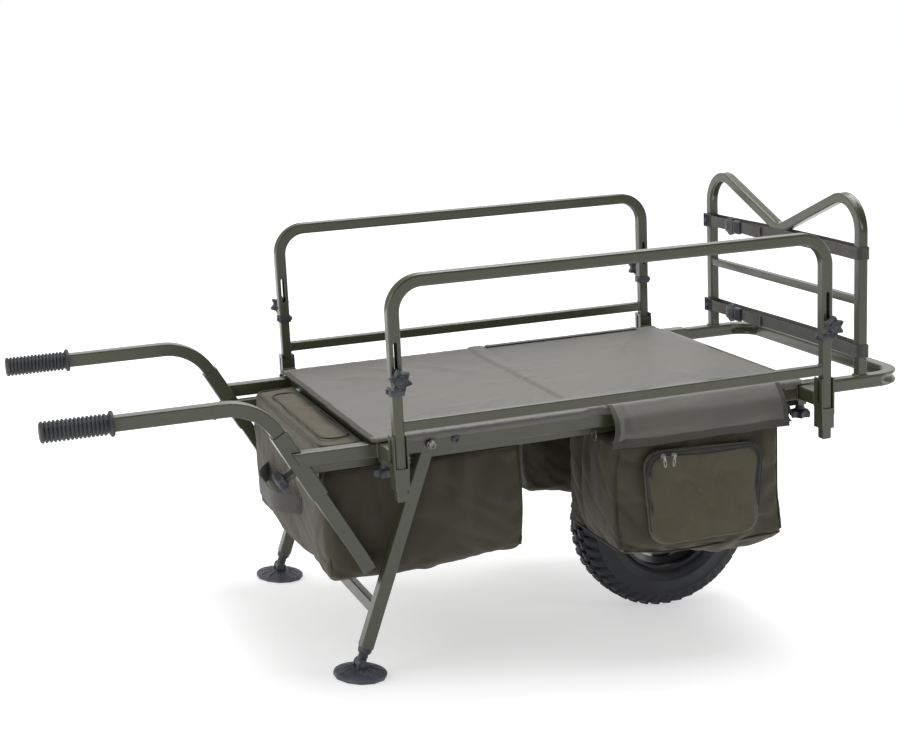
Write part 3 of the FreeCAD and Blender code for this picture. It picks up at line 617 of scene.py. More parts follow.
def colour_setting(name, description, default):
    return FloatVectorProperty(name=name, description=description, default=default, subtype="COLOR",
                               min=0.0, max=1.0)


class CartColours(bpy.types.PropertyGroup):
    paint: colour_setting("Paint", "Powder coat on the tubes", (0.042, 0.045, 0.023))
    cloth: colour_setting("Deck cloth", "Coated cloth of the deck and the flaps", (0.1, 0.1, 0.093))
    bag: colour_setting("Bag cloth", "Woven cloth of the bags", (0.047, 0.041, 0.023))
    trim: colour_setting("Binding", "Tape and piping on the cloth's edges", (0.028, 0.026, 0.018))
    knob: colour_setting("Knobs and feet", "Moulded nylon", (0.034, 0.036, 0.044))
    tyre: colour_setting("Tyre", "Tyre rubber", (0.018, 0.019, 0.024))
    webbing: colour_setting("Webbing", "Straps and loops", (0.046, 0.044, 0.038))


class CartSizes(bpy.types.PropertyGroup):
    crimp: FloatProperty(name="Bend crimp", description="How deep the tube's faces fold in at a bend",
                         default=0.0042, min=0.0, max=0.008, unit="LENGTH")
    weld: FloatProperty(name="Weld bead", description="Radius of the weld beads", default=0.0022, min=0.001,
                        max=0.004, unit="LENGTH")
    wall: FloatProperty(name="Tube wall", description="Wall of the bent tubes", default=0.0013, min=0.001,
                        max=0.003, unit="LENGTH")
    tread_blocks: IntProperty(name="Tread blocks", description="Tread blocks round the tyre, in each row",
                              default=46, min=20, max=70)
    sag: FloatProperty(name="Deck sag", description="How far the deck cloth hangs at its middle", default=0.004,
                       min=0.0, max=0.02, unit="LENGTH")
    swell: FloatProperty(name="Bag fill", description="Pressure that fills the bags' cloth", default=4.0, min=0.0,
                         max=12.0)


LOOKS = {}
SLOT_LOOKS = {
    "frame_paint": "paint", "grip_rubber": "grip", "knob_plastic": "knob", "stem_plastic": "stem",
    "bag_cloth": "bag", "tyre_rubber": "tyre", "rim_paint": "rim", "bolt_steel": "steel",
    "valve_rubber": "grip", "webbing": "webbing", "buckle_plastic": "buckle", "deck_cloth": "cloth",
    "zip_metal": "zip",
}


def mix_finishes(colours):
    """Makes every finish, and paints each CAD node with the one of its material slot."""
    LOOKS["paint"] = powder_coat(tuple(colours.paint))
    LOOKS["cloth"] = coated_cloth("coated_cloth", tuple(colours.cloth))
    LOOKS["bag"] = woven("bag_cloth", tuple(colours.bag), 0.0013, 0.45)
    # A copy of the bag cloth made 1.45 times lighter: painted light on the lid and the pocket fronts, which face the
    # lamps
    LOOKS["bag_top"] = woven("bag_cloth_painted_lit", shade(tuple(colours.bag), 1.45), 0.0013, 0.45)
    LOOKS["lining"] = woven("bag_lining", shade(tuple(colours.bag), 0.35), 0.0011, sheen=0.1)
    LOOKS["trim"] = woven("binding_tape", tuple(colours.trim), 0.0009, 0.3, 40.0)
    LOOKS["tape"] = woven("flap_tape", (0.052, 0.05, 0.042), 0.0009, 0.25, 30.0)
    # The feet are the knobs' nylon; this copy is 1.8 times lighter, painted light on the feet's tops
    LOOKS["foot"] = moulded("foot_nylon_painted_lit", shade(tuple(colours.knob), 1.8), 0.5, 1.6)
    LOOKS["knob"] = moulded("knob_nylon", tuple(colours.knob), 0.42)
    LOOKS["stem"] = moulded("stem_nylon", (0.04, 0.043, 0.048), 0.4)
    LOOKS["buckle"] = moulded("buckle_acetal", (0.042, 0.046, 0.052), 0.38)
    LOOKS["grip"] = rubber("grip_rubber", (0.03, 0.033, 0.036), 0.55, 0.35)
    LOOKS["tyre"] = rubber("tyre_rubber", tuple(colours.tyre), 0.58, 0.5)
    LOOKS["rim"] = moulded("rim_enamel", (0.016, 0.016, 0.018), 0.25, 0.5)
    LOOKS["steel"] = plated("zinc_plate", (0.2, 0.2, 0.195), 0.34)
    LOOKS["zip"] = plated("nickel_plate", (0.22, 0.22, 0.22), 0.3)
    LOOKS["ring"] = plated("dull_nickel", (0.16, 0.16, 0.155), 0.42)
    LOOKS["webbing"] = webbing_weave("webbing", tuple(colours.webbing))
    for row in frame["record"]["subparts"]:
        node = frame["nodes"][row["node"]]
        look = LOOKS[SLOT_LOOKS[row["material_slot"]]]
        node.data.materials.clear()
        node.data.materials.append(look)
        for face in node.data.polygons:
            face.material_index = 0


# ---------------------------------------------------------------- bent tubes and welds

PLUG_OUT = 0.0016


def end_plug(at, out, width):
    """A moulded plug in a square tube's open end: a rounded cap with a small sprue mark."""
    cap = block((width - 0.001, width - 0.001, 2 * PLUG_OUT), 0.0012)
    dome = turned([(width * 0.34, 0.0), (width * 0.34, PLUG_OUT), (width * 0.28, PLUG_OUT * 1.5)], 24)
    move = facing(at, out)
    return [mapped(cap, move), mapped(dome, move)]


def slotted(made, side):
    """Cuts the two clamp slots of a hoop, through both faces of its legs."""
    half = SLOT_WIDTH / 2
    profile = []
    for z, low, high in ((SLOT_Z[1] - half, 0, math.pi), (SLOT_Z[0] + half, math.pi, 2 * math.pi)):
        for i in range(9):
            a = low + (high - low) * i / 8
            profile.append((half * math.cos(a), z + half * math.sin(a)))
    cutters = []
    for _, x in ENDS:
        rings = [[(x + u, side * SIDE_Y + depth, z) for u, z in profile] for depth in (-0.03, 0.03)]
        cutters.append(loft(rings))
    tool = build("slot_cutter", cutters, LOOKS["paint"])
    flip_outward(tool)
    settled(made, ("BOOLEAN", {"operation": "DIFFERENCE", "object": tool, "solver": "EXACT"}))
    bpy.data.objects.remove(tool)


def flip_outward(made):
    """Turns every face to point out of a closed mesh."""
    shape = bmesh.new()
    shape.from_mesh(made.data)
    bmesh.ops.recalc_face_normals(shape, faces=shape.faces)
    shape.to_mesh(made.data)
    shape.free()


def make_hoops(sizes):
    """The raised hoops: thin square tube with crimped corners and a slot in each leg."""
    for name, side in SIDES:
        y = side * SIDE_Y
        corners = [(0, y, HOOP_BOTTOM_Z), (0, y, HOOP_TOP_Z), (BAY, y, HOOP_TOP_Z), (BAY, y, HOOP_BOTTOM_Z)]
        path = bent_path(corners, [HOOP_CORNER_R] * 2)
        tube = hollow(path, (0, 1, 0), HOOP_TUBE, sizes.wall, 0.003, sizes.crimp)
        made = build(name + "_hoop_tube", [tube], LOOKS["paint"])
        flip_outward(made)
        slotted(made, side)
        smooth(made, 35)
        place(made, "raised_hoop_" + name, "frame_paint", "hoop_" + name)


def make_front_loop(sizes):
    """The front loop: its corners fold in on both faces of the bend."""
    front = LOOP_FRONT_X - LOOP_TUBE / 2
    back = BAY + 0.018
    corners = [(x, y, RAIL_Z) for x, y in ((back, -FRAME_Y), (front, -FRAME_Y), (front, FRAME_Y), (back, FRAME_Y))]
    path = bent_path(corners, [LOOP_BEND_R] * 2)
    tube = hollow(path, (0, 0, 1), LOOP_TUBE, 0.0015, 0.0034, sizes.crimp * 1.35)
    made = build("front_loop_tube", [tube], LOOKS["paint"])
    flip_outward(made)
    place(made, "frame", "frame_paint", "front_loop")


def make_headboard(sizes):
    """The headboard: one bent tube with a V-shaped top, and its level bar."""
    base = RAIL_Z + LOOP_TUBE / 2
    peak = BOARD_V_Z + FRAME_Y * math.tan(BOARD_V_SLOPE)
    corners = [(BOARD_X, -FRAME_Y, base), (BOARD_X, -FRAME_Y, peak), (BOARD_X, 0, BOARD_V_Z),
               (BOARD_X, FRAME_Y, peak), (BOARD_X, FRAME_Y, base)]
    path = bent_path(corners, [BOARD_BEND_R, BOARD_V_R, BOARD_BEND_R])
    tube = hollow(path, (1, 0, 0), BOARD_TUBE, 0.0015, 0.0028, sizes.crimp)
    reach = FRAME_Y - BOARD_TUBE / 2 + 0.0004
    ring, _ = square_section(0.016, 0.016, 0.0022, 2)
    bar = swept(bent_path([(BOARD_X, -reach, BOARD_BAR_Z), (BOARD_X, reach, BOARD_BAR_Z)], []), (1, 0, 0), ring)
    made = build("headboard_tube", [tube, bar], LOOKS["paint"])
    flip_outward(made)
    place(made, "frame", "frame_paint", "headboard")


def tube_weld(centre, along, first, half_first, half_second, radius, seed):
    """A bead round a rectangular tube where it meets another."""
    first = Vector(first)
    second = Vector(along).cross(first)
    return bead(square_route(centre, first, second, half_first, half_second), radius, seed)


def make_welds(sizes):
    """Weld beads at every joint of the tubes, on the body that carries them."""
    r = sizes.weld
    up, ahead, across = (0, 0, 1), (1, 0, 0), (0, 1, 0)
    beads = []
    for name, side in SIDES:
        y = side * FRAME_Y
        beads.append(tube_weld((BOARD_X, y, RAIL_Z + LOOP_TUBE / 2), up, ahead, 0.0105, 0.0105, r * 1.25, 3 + side))
        bar_end = side * (FRAME_Y - BOARD_TUBE / 2)
        beads.append(tube_weld((BOARD_X, bar_end, BOARD_BAR_Z), across, ahead, 0.0078, 0.0078, r * 0.7, 5 + side))
        for x in (0.016, BAY - 0.016):
            beads.append(tube_weld((x, y, RAIL_Z), ahead, across, 0.0157, 0.0157, r * 0.7, 11 + side))
        beads.append(tube_weld((-0.016, y, RAIL_Z - 0.001), ahead, across, 0.0132, 0.0132, r * 0.8, 17 + side))
        for x in (0.3, 0.54, 0.826):
            beads.append(tube_weld((x, side * 0.262, 0.407), across, ahead, 0.0102, 0.0102, r * 0.7, 23 + side))
    add("frame_welds", beads, "paint", "frame", "frame_paint", sharp=60)
    for name, side in SIDES:
        y = side * SIDE_Y
        ends = [tube_weld((x, y, 0.492), ahead, across, 0.0095, 0.0095, r * 0.6, 31 + side)
                for x in (POST_TUBE / 2, BAY - POST_TUBE / 2)]
        add(name + "_side_welds", ends, "paint", "rail_" + name, "frame_paint", sharp=60)
        for end, x in ENDS:
            at = (x, side * (SIDE_Y - 0.0155), RAIL_Z - 0.0005)
            plate = tube_weld(at, across, ahead, 0.0138, 0.0138, r * 0.7, 41)
            add(f"{end}_{name}_bracket_weld", [plate], "paint", "side_" + name, "frame_paint", sharp=60)


def make_plugs():
    """Moulded plugs in the side posts' feet and the handles' lower ends."""
    for name, side in SIDES:
        feet = [p for _, x in ENDS for p in end_plug((x, side * SIDE_Y, POST_BOTTOM_Z), (0, 0, -1), POST_TUBE)]
        add(name + "_post_plugs", feet, "buckle", "rail_" + name, "buckle_plastic")
        x, z = along_handle(HANDLE_DROP)
        down = (math.cos(HANDLE_SLOPE), 0, -math.sin(HANDLE_SLOPE))
        foot = end_plug((x, side * HANDLE_Y, z), down, HANDLE_TUBE)
        add(name + "_handle_plug", foot, "buckle", "handle_" + name, "buckle_plastic")


def along_handle(distance, across=0.0):
    """A point on the handle's sloping line, measured down it and across it towards the rear."""
    x = HANDLE_BEND_X + math.cos(HANDLE_SLOPE) * distance - math.sin(HANDLE_SLOPE) * across
    z = HANDLE_Z - math.sin(HANDLE_SLOPE) * distance - math.cos(HANDLE_SLOPE) * across
    return x, z


# ---------------------------------------------------------------- the wheel

def wheel_place(turn=0.0):
    """The matrix of something drawn round +Z, put round the axle."""
    upright = Matrix.Rotation(math.pi / 2, 4, "X") @ Matrix.Rotation(turn, 4, "Z")
    return Matrix.Translation((WHEEL_X, 0, WHEEL_Z)) @ upright


def round_shell(profile, steps):
    """A closed ring about +Z from a closed loop of (radius, height) points."""
    angles = [2 * math.pi * i / steps for i in range(steps)]
    return loft([[(r * math.cos(a), r * math.sin(a), height) for a in angles] for r, height in profile], around=True)


def make_tyre(sizes):
    """A pneumatic tyre: moulded side walls with ribs, and rows of staggered tread blocks."""
    half, top = TYRE_HALF, WHEEL_R - 0.0085
    side = [(RIM_R + 0.003, half - 0.024), (RIM_R + 0.005, half - 0.017), (RIM_R + 0.01, half - 0.012),
            (RIM_R + 0.013, half - 0.0105), (RIM_R + 0.0145, half - 0.007), (RIM_R + 0.022, half - 0.0028),
            (RIM_R + 0.03, half - 0.0012), (RIM_R + 0.0315, half), (RIM_R + 0.034, half),
            (RIM_R + 0.0355, half - 0.0012), (RIM_R + 0.05, half - 0.0015), (RIM_R + 0.058, half - 0.003),
            (RIM_R + 0.0595, half - 0.0022), (RIM_R + 0.063, half - 0.0028), (RIM_R + 0.0645, half - 0.0058)]
    crown = [(top - 0.008, half - 0.01), (top - 0.003, half - 0.019), (top - 0.0005, half - 0.03), (top, 0.0)]
    outline = side + crown
    profile = outline + [(r, -y) for r, y in reversed(outline[:-1])]
    profile += [(RIM_R + 0.003, -half + 0.03), (RIM_R + 0.003, half - 0.03)]
    parts = [mapped(round_shell(profile, 128), wheel_place())]
    count = sizes.tread_blocks
    pitch = 2 * math.pi / count
    # (across, half width, half length as a share of the pitch, share of a pitch that the row is shifted, drop)
    rows = [(0.0, 0.0075, 0.34, 0.0, 0.0), (0.0185, 0.007, 0.33, 0.5, 0.0012), (0.035, 0.0062, 0.3, 0.0, 0.0062)]
    for across, half_width, share, shift, drop in rows:
        for hand in ((1, -1) if across else (1,)):
            for i in range(count):
                parts.append(mapped(tread_block(across * hand, half_width, pitch * share, drop),
                                    wheel_place((i + shift) * pitch)))
    add("tyre_tread", parts, "tyre", "wheel", "tyre_rubber", "tyre", sharp=40)


def tread_block(across, half_width, half_angle, drop):
    """One tread block with sloped flanks, round the tyre's crown."""
    low, high = WHEEL_R - 0.0125 - drop * 1.5, WHEEL_R - drop
    lean = math.copysign(0.0045, across) if across else 0.0
    rings = []
    for radius, grow in ((low, 1.22), (high - 0.001, 1.02), (high, 0.88)):
        ring = []
        for u, v in ((1, 0.7), (0.8, 1), (-0.8, 1), (-1, 0.7), (-1, -0.7), (-0.8, -1), (0.8, -1), (1, -0.7)):
            a = half_angle * u * grow
            y = across + half_width * v * grow + lean * u * 0.5
            shoulder = abs(y) - 0.032
            r = radius - max(0.0, shoulder) * 0.55
            ring.append((r * math.cos(a), r * math.sin(a), y))
        rings.append(ring)
    return loft(rings)


def make_rim():
    """The rim: a flanged well, a dished disc with six slots between its spokes, and a hub."""
    well = [(RIM_R + 0.008, 0.04), (RIM_R + 0.0092, 0.0385), (RIM_R + 0.008, 0.0368), (RIM_R + 0.0046, 0.0352),
            (RIM_R + 0.0034, 0.033), (RIM_R + 0.0034, 0.02), (RIM_R - 0.004, 0.0165), (RIM_R - 0.01, 0.014)]
    inner = [(RIM_R - 0.0125, 0.015), (RIM_R - 0.006, 0.0185), (RIM_R + 0.0004, 0.0225), (RIM_R + 0.0004, 0.034),
             (RIM_R + 0.002, 0.0385)]
    profile = well + [(r, -y) for r, y in reversed(well)] + [(r, -y) for r, y in reversed(inner)] + inner
    parts = [round_shell(profile, 96)]
    hub = [(0.011, 0.046), (0.0175, 0.046), (0.0178, 0.0465), (0.0245, 0.046), (0.0262, 0.044), (0.0262, 0.012),
           (0.03, 0.007)]
    profile = hub + [(r, -y) for r, y in reversed(hub)] + [(0.011, -0.046)]
    parts.append(round_shell(profile, 48))
    for i in range(6):
        turn = Matrix.Rotation(math.pi / 3 * i + math.pi / 6, 4, "Z")
        rings = []
        for r, half_width, y, thick in ((0.027, 0.015, 0.004, 0.0065), (0.04, 0.0115, 0.006, 0.005),
                                       (0.07, 0.0105, 0.0085, 0.004), (0.088, 0.015, 0.007, 0.004),
                                       (0.0985, 0.027, 0.005, 0.004)):
            rings.append([(r, half_width, -thick), (r, half_width, thick), (r, half_width * 0.7, thick + 0.0016),
                          (r, 0, thick + 0.003 - y * 0.1), (r, -half_width * 0.7, thick + 0.0016),
                          (r, -half_width, thick), (r, -half_width, -thick), (r, -half_width * 0.7, -thick - 0.0016),
                          (r, 0, -thick - 0.003), (r, half_width * 0.7, -thick - 0.0016)])
        parts.append(mapped(loft(rings), turn))
    made = build("wheel_rim", [mapped(part, wheel_place()) for part in parts], LOOKS["rim"], 35)
    flip_outward(made)
    place(made, "wheel", "rim_paint", "rim")


# ---------------------------------------------------------------- knobs, grips, collars and bolts

KNOB_R = 0.0215


def star(angle, lobes=6, depth=0.36):
    """How far out a star knob's edge is: pointed lobes with a finger hollow between each two."""
    wave = abs(math.sin(lobes * angle / 2))
    return 1.0 - depth * wave ** 1.35


def star_knob():
    """A star knob about +Z, with its foot at the origin: neck, lobed head, rim and domed cap."""
    def edge(angle, height):
        share = ease((height - 0.01) / 0.004)
        return 1.0 + (star(angle) - 1.0) * share

    head = turned([(0.0086, 0.0), (0.0086, 0.004), (0.01, 0.0085), (0.015, 0.0108), (KNOB_R * 0.9, 0.0122),
                   (KNOB_R, 0.014), (KNOB_R, 0.0225), (KNOB_R * 0.97, 0.0243), (KNOB_R * 0.88, 0.0253),
                   (KNOB_R * 0.66, 0.0242)], 96, wobble=edge)
    cap = turned([(KNOB_R * 0.5, 0.02), (KNOB_R * 0.5, 0.0258), (KNOB_R * 0.46, 0.0268), (KNOB_R * 0.36, 0.0272),
                  (KNOB_R * 0.34, 0.0262), (KNOB_R * 0.3, 0.0262), (KNOB_R * 0.12, 0.0274)], 48)
    ribs = []
    for i in range(6):
        turn = 2 * math.pi * i / 6
        rib = block((0.0085, 0.0016, 0.003), 0.0005)
        ribs.append(mapped(rib, Matrix.Rotation(turn, 4, "Z") @ Matrix.Translation((0.0148, 0, 0.0246))))
    return [head, cap] + ribs


def stud(length):
    """The knob's steel stud with rolled threads, down from the origin."""
    profile = [(0.0028, 0.002)]
    turns = round(length / 0.001)
    for i in range(turns * 2):
        profile.append((0.003 if i % 2 else 0.0025, -i * length / (turns * 2)))
    profile.append((0.0022, -length))
    return turned(list(reversed(profile)), 20)


def make_knobs():
    """The ten star knobs with their studs."""
    outward = (-math.sin(HANDLE_SLOPE), 0, -math.cos(HANDLE_SLOPE))
    for name, side in SIDES:
        x, z = along_handle(SLEEVE_KNOB, SLEEVE / 2 + 0.0083)
        spots = [("handle_knob_" + name, "handle_clamp_" + name, (x, side * HANDLE_Y, z), outward, 0.009)]
        for end, x in ENDS:
            at = (x, side * (SIDE_Y + HOOP_TUBE / 2 + 0.0004), HOOP_KNOB_Z)
            spots.append((f"hoop_knob_{end}_{name}", f"hoop_clamp_{end}_{name}", at, (0, side, 0), 0.008))
            at = (x, side * FRAME_Y, RAIL_Z - 0.0005 - 0.016 - 0.0123)
            spots.append((f"width_knob_{end}_{name}", f"width_clamp_{end}_{name}", at, (0, 0, -1), 0.012))
        for order, (node, body, at, out, length) in enumerate(spots):
            move = facing(at, out, 0.35 + 0.4 * order)
            add(node + "_star", [mapped(part, move) for part in star_knob()], "knob", body, "knob_plastic", node,
                sharp=32)
            add(node + "_stud", [mapped(stud(length), move)], "steel", body, "bolt_steel")


def make_grips():
    """Ribbed rubber grips: rounded rings, a flange at the inner end and a domed outer end."""
    half = HANDLE_TUBE / 2
    for name, side in SIDES:
        profile = [(0.004, 0.0), (GRIP_R * 0.75, 0.0006), (GRIP_R * 0.93, 0.0022), (GRIP_R, 0.0052),
                   (GRIP_R, 0.0068)]
        ribs = 15
        start, end = 0.008, GRIP_LENGTH - 0.012
        pitch = (end - start) / ribs
        for i in range(ribs):
            for t, r in ((0.0, -3.0), (0.18, -3.0), (0.3, -0.8), (0.42, 0.0), (0.72, 0.0), (0.86, -0.8)):
                profile.append((GRIP_R + r / 1000, start + (i + t) * pitch))
        profile += [(GRIP_R - 0.003, end), (GRIP_R - 0.0026, end + 0.003), (GRIP_R + 0.0012, end + 0.005),
                    (GRIP_R + 0.0035, end + 0.0068), (GRIP_R + 0.0035, end + 0.01),
                    (GRIP_R + 0.0022, end + 0.0118), (half * 1.16, GRIP_LENGTH)]
        move = facing((GRIP_END_X, side * HANDLE_Y, HANDLE_Z), (1, 0, 0))
        add(name + "_grip_rubber", [mapped(turned(profile, 48), move)], "grip", "handle_" + name, "grip_rubber",
            "grip_" + name, sharp=50)


def make_collars():
    """The moulded collars at the hoops' feet, each with two screw bosses and screws."""
    half = (HOOP_TUBE + 0.005) / 2
    ring, _ = square_section(2 * half, 2 * half, 0.004, 2)
    bore, _ = square_section(HOOP_TUBE, HOOP_TUBE, 0.003, 2)
    for name, side in SIDES:
        shells, screws = [], []
        for _, x in ENDS:
            centre = (x, side * SIDE_Y)
            rings = []
            for scale, z, shape in ((1.0, 0.0, bore), (0.93, 0.0, ring), (1.0, 0.0012, ring), (1.0, 0.0125, ring),
                                    (0.95, 0.014, ring), (1.0, 0.014, bore)):
                rings.append([(centre[0] + u * scale, centre[1] + v * scale, HOOP_BOTTOM_Z + z) for u, v in shape])
            shells.append(loft(rings, capped=False, around=True))
            for hand in (-1, 1):
                at = (x + hand * half, side * (SIDE_Y - 0.006), HOOP_BOTTOM_Z + 0.007)
                move = facing(at, (hand, 0, 0))
                boss = turned([(0.0042, -0.001), (0.0042, 0.0022), (0.0036, 0.003), (0.0022, 0.003)], 20)
                shells.append(mapped(boss, move))
                screw = turned([(0.0021, 0.0), (0.0021, 0.0034), (0.0014, 0.0038)], 16)
                screws.append(mapped(screw, move))
        add(name + "_collar_shells", shells, "knob", "raised_hoop_" + name, "knob_plastic", "hoop_collars_" + name,
            sharp=40)
        add(name + "_collar_screws", screws, "steel", "raised_hoop_" + name, "bolt_steel", sharp=40)


def cap_screw(radius, height, socket=True):
    """A bolt head about +Z: knurled edge, chamfer and a hexagon socket."""
    knurl = turned([(radius * 0.9, 0.0), (radius, 0.0006), (radius, height - 0.001), (radius * 0.9, height)], 48,
                   wobble=lambda a, h: 1 - 0.02 * (math.sin(24 * a) > 0), capped=False)
    depth = height * 0.45 if socket else 0.0003
    points = [Vector(p) for p in knurl[0]]
    count = 48
    across = radius * 0.48
    outer = points[-count:]
    rings = [outer]
    for z in (height, height - depth):
        ring = []
        for i in range(count):
            a = 2 * math.pi * i / count
            within = ((a + math.pi / 6) % (math.pi / 3)) - math.pi / 6
            r = across / math.cos(within)
            ring.append(Vector((r * math.cos(a), r * math.sin(a), z)))
        rings.append(ring)
    top_points, top_faces = loft(rings, capped=False)
    first = len(top_points) - count
    top_faces.append(tuple(range(first, first + count)))
    bottom = ([tuple(p) for p in points[:count]], [tuple(reversed(range(count)))])
    return [knurl, (top_points, top_faces), bottom]


def make_leg_bolts():
    """The legs' pivot bolts with their bright spacers, and the black stop bolts with domed washers."""
    bright, dark = [], []
    for _, side in SIDES:
        face = side * (FRAME_Y + RAIL / 2)
        inner = side * (FRAME_Y - RAIL / 2)
        out = (0, side, 0)
        spacer = turned([(0.0074, 0.0), (0.0086, 0.0005), (0.0086, 0.008), (0.0078, 0.0088), (0.005, 0.0088)], 32)
        bright.append(mapped(spacer, facing((PIVOT_X, face, PIVOT_Z), out)))
        for part in cap_screw(0.0072, 0.0052):
            bright.append(mapped(part, facing((PIVOT_X, face + side * 0.0088, PIVOT_Z), out)))
        for x, z in ((PIVOT_X, PIVOT_Z), (0.131, 0.435)):
            for part in cap_screw(0.0066, 0.0058, False):
                bright.append(mapped(part, facing((x, inner, z), (0, -side, 0))))
        washer = turned([(0.0086, 0.0), (0.0086, 0.0008), (0.0074, 0.0022), (0.005, 0.0026)], 32)
        dark.append(mapped(washer, facing((0.131, face, 0.435), out)))
        for part in cap_screw(0.0068, 0.0046):
            dark.append(mapped(part, facing((0.131, face + side * 0.0016, 0.435), out)))
    add("leg_pivot_bolts", bright, "steel", "frame", "bolt_steel", "leg_bolts")
    add("leg_stop_bolts", dark, "stem", "frame", "bolt_steel")


# ---------------------------------------------------------------- the deck cloth

DECK_EDGE = FRAME_Y + RAIL / 2
PLEAT_X = 0.412


def deck_height(x, y, sag):
    """The deck cloth's height over the rails: tight at its edges, slack between them."""
    inward = ease((DECK_EDGE - abs(y)) / 0.1)
    along = ease((x - CLOTH_X[0]) / 0.1) * ease((CLOTH_X[1] - x) / 0.1)
    droop = -sag * inward * along
    pulls = 0.0
    for x0, y0, turn, reach, size in (
            (0.0, -0.27, 0.55, 0.22, 0.003), (0.05, -0.2, 0.3, 0.26, 0.0026), (0.1, -0.29, 0.85, 0.2, 0.0024),
            (0.16, -0.24, 0.7, 0.24, 0.0022), (0.22, -0.29, 1.0, 0.18, 0.002), (0.3, -0.28, 1.15, 0.22, 0.002),
            (0.02, 0.22, -0.5, 0.24, 0.0024), (0.12, 0.28, -0.8, 0.2, 0.002), (0.24, 0.26, -1.05, 0.24, 0.0018),
            (0.55, -0.27, 1.1, 0.2, 0.0016), (0.66, 0.25, -1.1, 0.22, 0.0016), (0.78, -0.26, 2.2, 0.22, 0.002),
            (0.76, 0.26, -2.2, 0.22, 0.002), (0.36, 0.05, 0.1, 0.16, 0.0014), (0.46, -0.02, 3.0, 0.2, 0.0014)):
        u = (x - x0) * math.cos(turn) + (y - y0) * math.sin(turn)
        v = (y - y0) * math.cos(turn) - (x - x0) * math.sin(turn)
        width = 0.006 + 0.012 * ease(u / reach)
        pulls += 2.0 * size * hump(u, reach * 0.45, reach * 0.6) * math.exp(-(v / width) ** 2)
    buckle = 0.0016 * ripple(x * 2.2, y * 2.6, 7) + 0.0009 * ripple(x * 6, y * 7, 9)
    return CLOTH_Z + CLOTH_T + droop + (pulls + buckle) * max(inward, 0.25) * max(along, 0.3)


def pleat(x):
    """The folded seam across the deck: a raised lap between two stitch lines."""
    lap = 0.0052 * ease((x - PLEAT_X + 0.022) / 0.006) * ease((PLEAT_X + 0.018 - x) / 0.012)
    dips = 0.0022 * sum(hump(x, PLEAT_X + s, 0.0025) for s in (-0.016, 0.02))
    return lap - dips + 0.0008 * ease((x - PLEAT_X) / 0.02)


def edge_profile():
    """Across the cloth from the near rolled edge to the far one, as (y, height above the top, share of the top)."""
    roll = [(-DECK_EDGE - 0.0012, -0.0105), (-DECK_EDGE - 0.003, -0.009), (-DECK_EDGE - 0.004, -0.006),
            (-DECK_EDGE - 0.0042, -0.003), (-DECK_EDGE - 0.0034, 0.0), (-DECK_EDGE - 0.0012, 0.0022),
            (-DECK_EDGE + 0.0018, 0.003), (-DECK_EDGE + 0.005, 0.0024), (-DECK_EDGE + 0.0085, 0.0008)]
    flat = [-DECK_EDGE + 0.012 + (2 * DECK_EDGE - 0.024) * i / 110 for i in range(111)]
    near = [(y, h, 0.0) for y, h in roll]
    return near + [(y, 0.0, 1.0) for y in flat] + [(-y, h, 0.0) for y, h in reversed(roll)]


def make_deck_cloth(sizes):
    """The deck cloth: slack between its rolled side edges, pulled into creases, with a folded seam across it."""
    start, end = CLOTH_X
    columns = [start + (end - start) * i / 220 for i in range(221)]
    rings = []
    for x in columns:
        inset = 0.003 * ease((start + 0.012 - x) / 0.012)
        ring = []
        for y, h, share in edge_profile():
            narrow = 1 - 0.004 * (0.5 + 0.5 * ripple(x * 9, 0.3, 21))
            if x < 0.017 or x > BAY - 0.017:
                h = max(h, -0.002)
            bump = 0.0006 * ripple(x * 60, y * 2, 13) if not share else 0.0
            if share:
                ring.append((x, y * narrow - math.copysign(inset, y), deck_height(x, y, sizes.sag) + pleat(x)))
            else:
                top = deck_height(x, math.copysign(DECK_EDGE, y), 0.0)
                ring.append((x, y - math.copysign(inset, y), top + h + bump + pleat(x) * 0.6))
        rings.append(ring)
    made = build("deck_sheet", [loft(rings, closed=False, capped=False)], LOOKS["cloth"], 50)
    settled(made, ("SOLIDIFY", {"thickness": 0.0016, "offset": -1.0}))
    smooth(made, 50)
    place(made, "frame", "deck_cloth", "deck_cloth")
    hems = []
    for x in CLOTH_X:
        hand = 1 if x == start else -1
        route = [(x + hand * 0.004 + hand * 0.002 * ripple(0, y * 5, 3), y, deck_height(x, y, 0.0) + 0.0004)
                 for y in (-DECK_EDGE + 2 * DECK_EDGE * i / 60 for i in range(61))]
        hems.append(ribbon(route, (1, 0, 0), 0.013, 0.0034))
    hem = add("deck_hem_tape", hems, "trim", "frame", "webbing", sharp=50)
    stitch_rows = []
    for x in (PLEAT_X - 0.0165, PLEAT_X + 0.0205):
        route = [(x, y, deck_height(x, y, sizes.sag) + pleat(x) + 0.0007) for y in
                 (-DECK_EDGE + 0.016 + (2 * DECK_EDGE - 0.032) * i / 130 for i in range(131))]
        stitch_rows += stitches(route)
    add("deck_stitching", stitch_rows, "trim", "frame", "webbing", sharp=60)


def stitches(route, length=0.003, gap=0.0016, radius=0.00035):
    """A row of sewn stitches along a route, each a short bead of thread."""
    points = spaced(route, length + gap)
    made = []
    for here, ahead in zip(points, points[1:]):
        along = (ahead - here).normalized()
        thread = [(radius * 0.4, 0.0), (radius, length * 0.2), (radius, length * 0.8), (radius * 0.4, length)]
        made.append(mapped(turned(thread, 6), facing(here, along)))
    return made


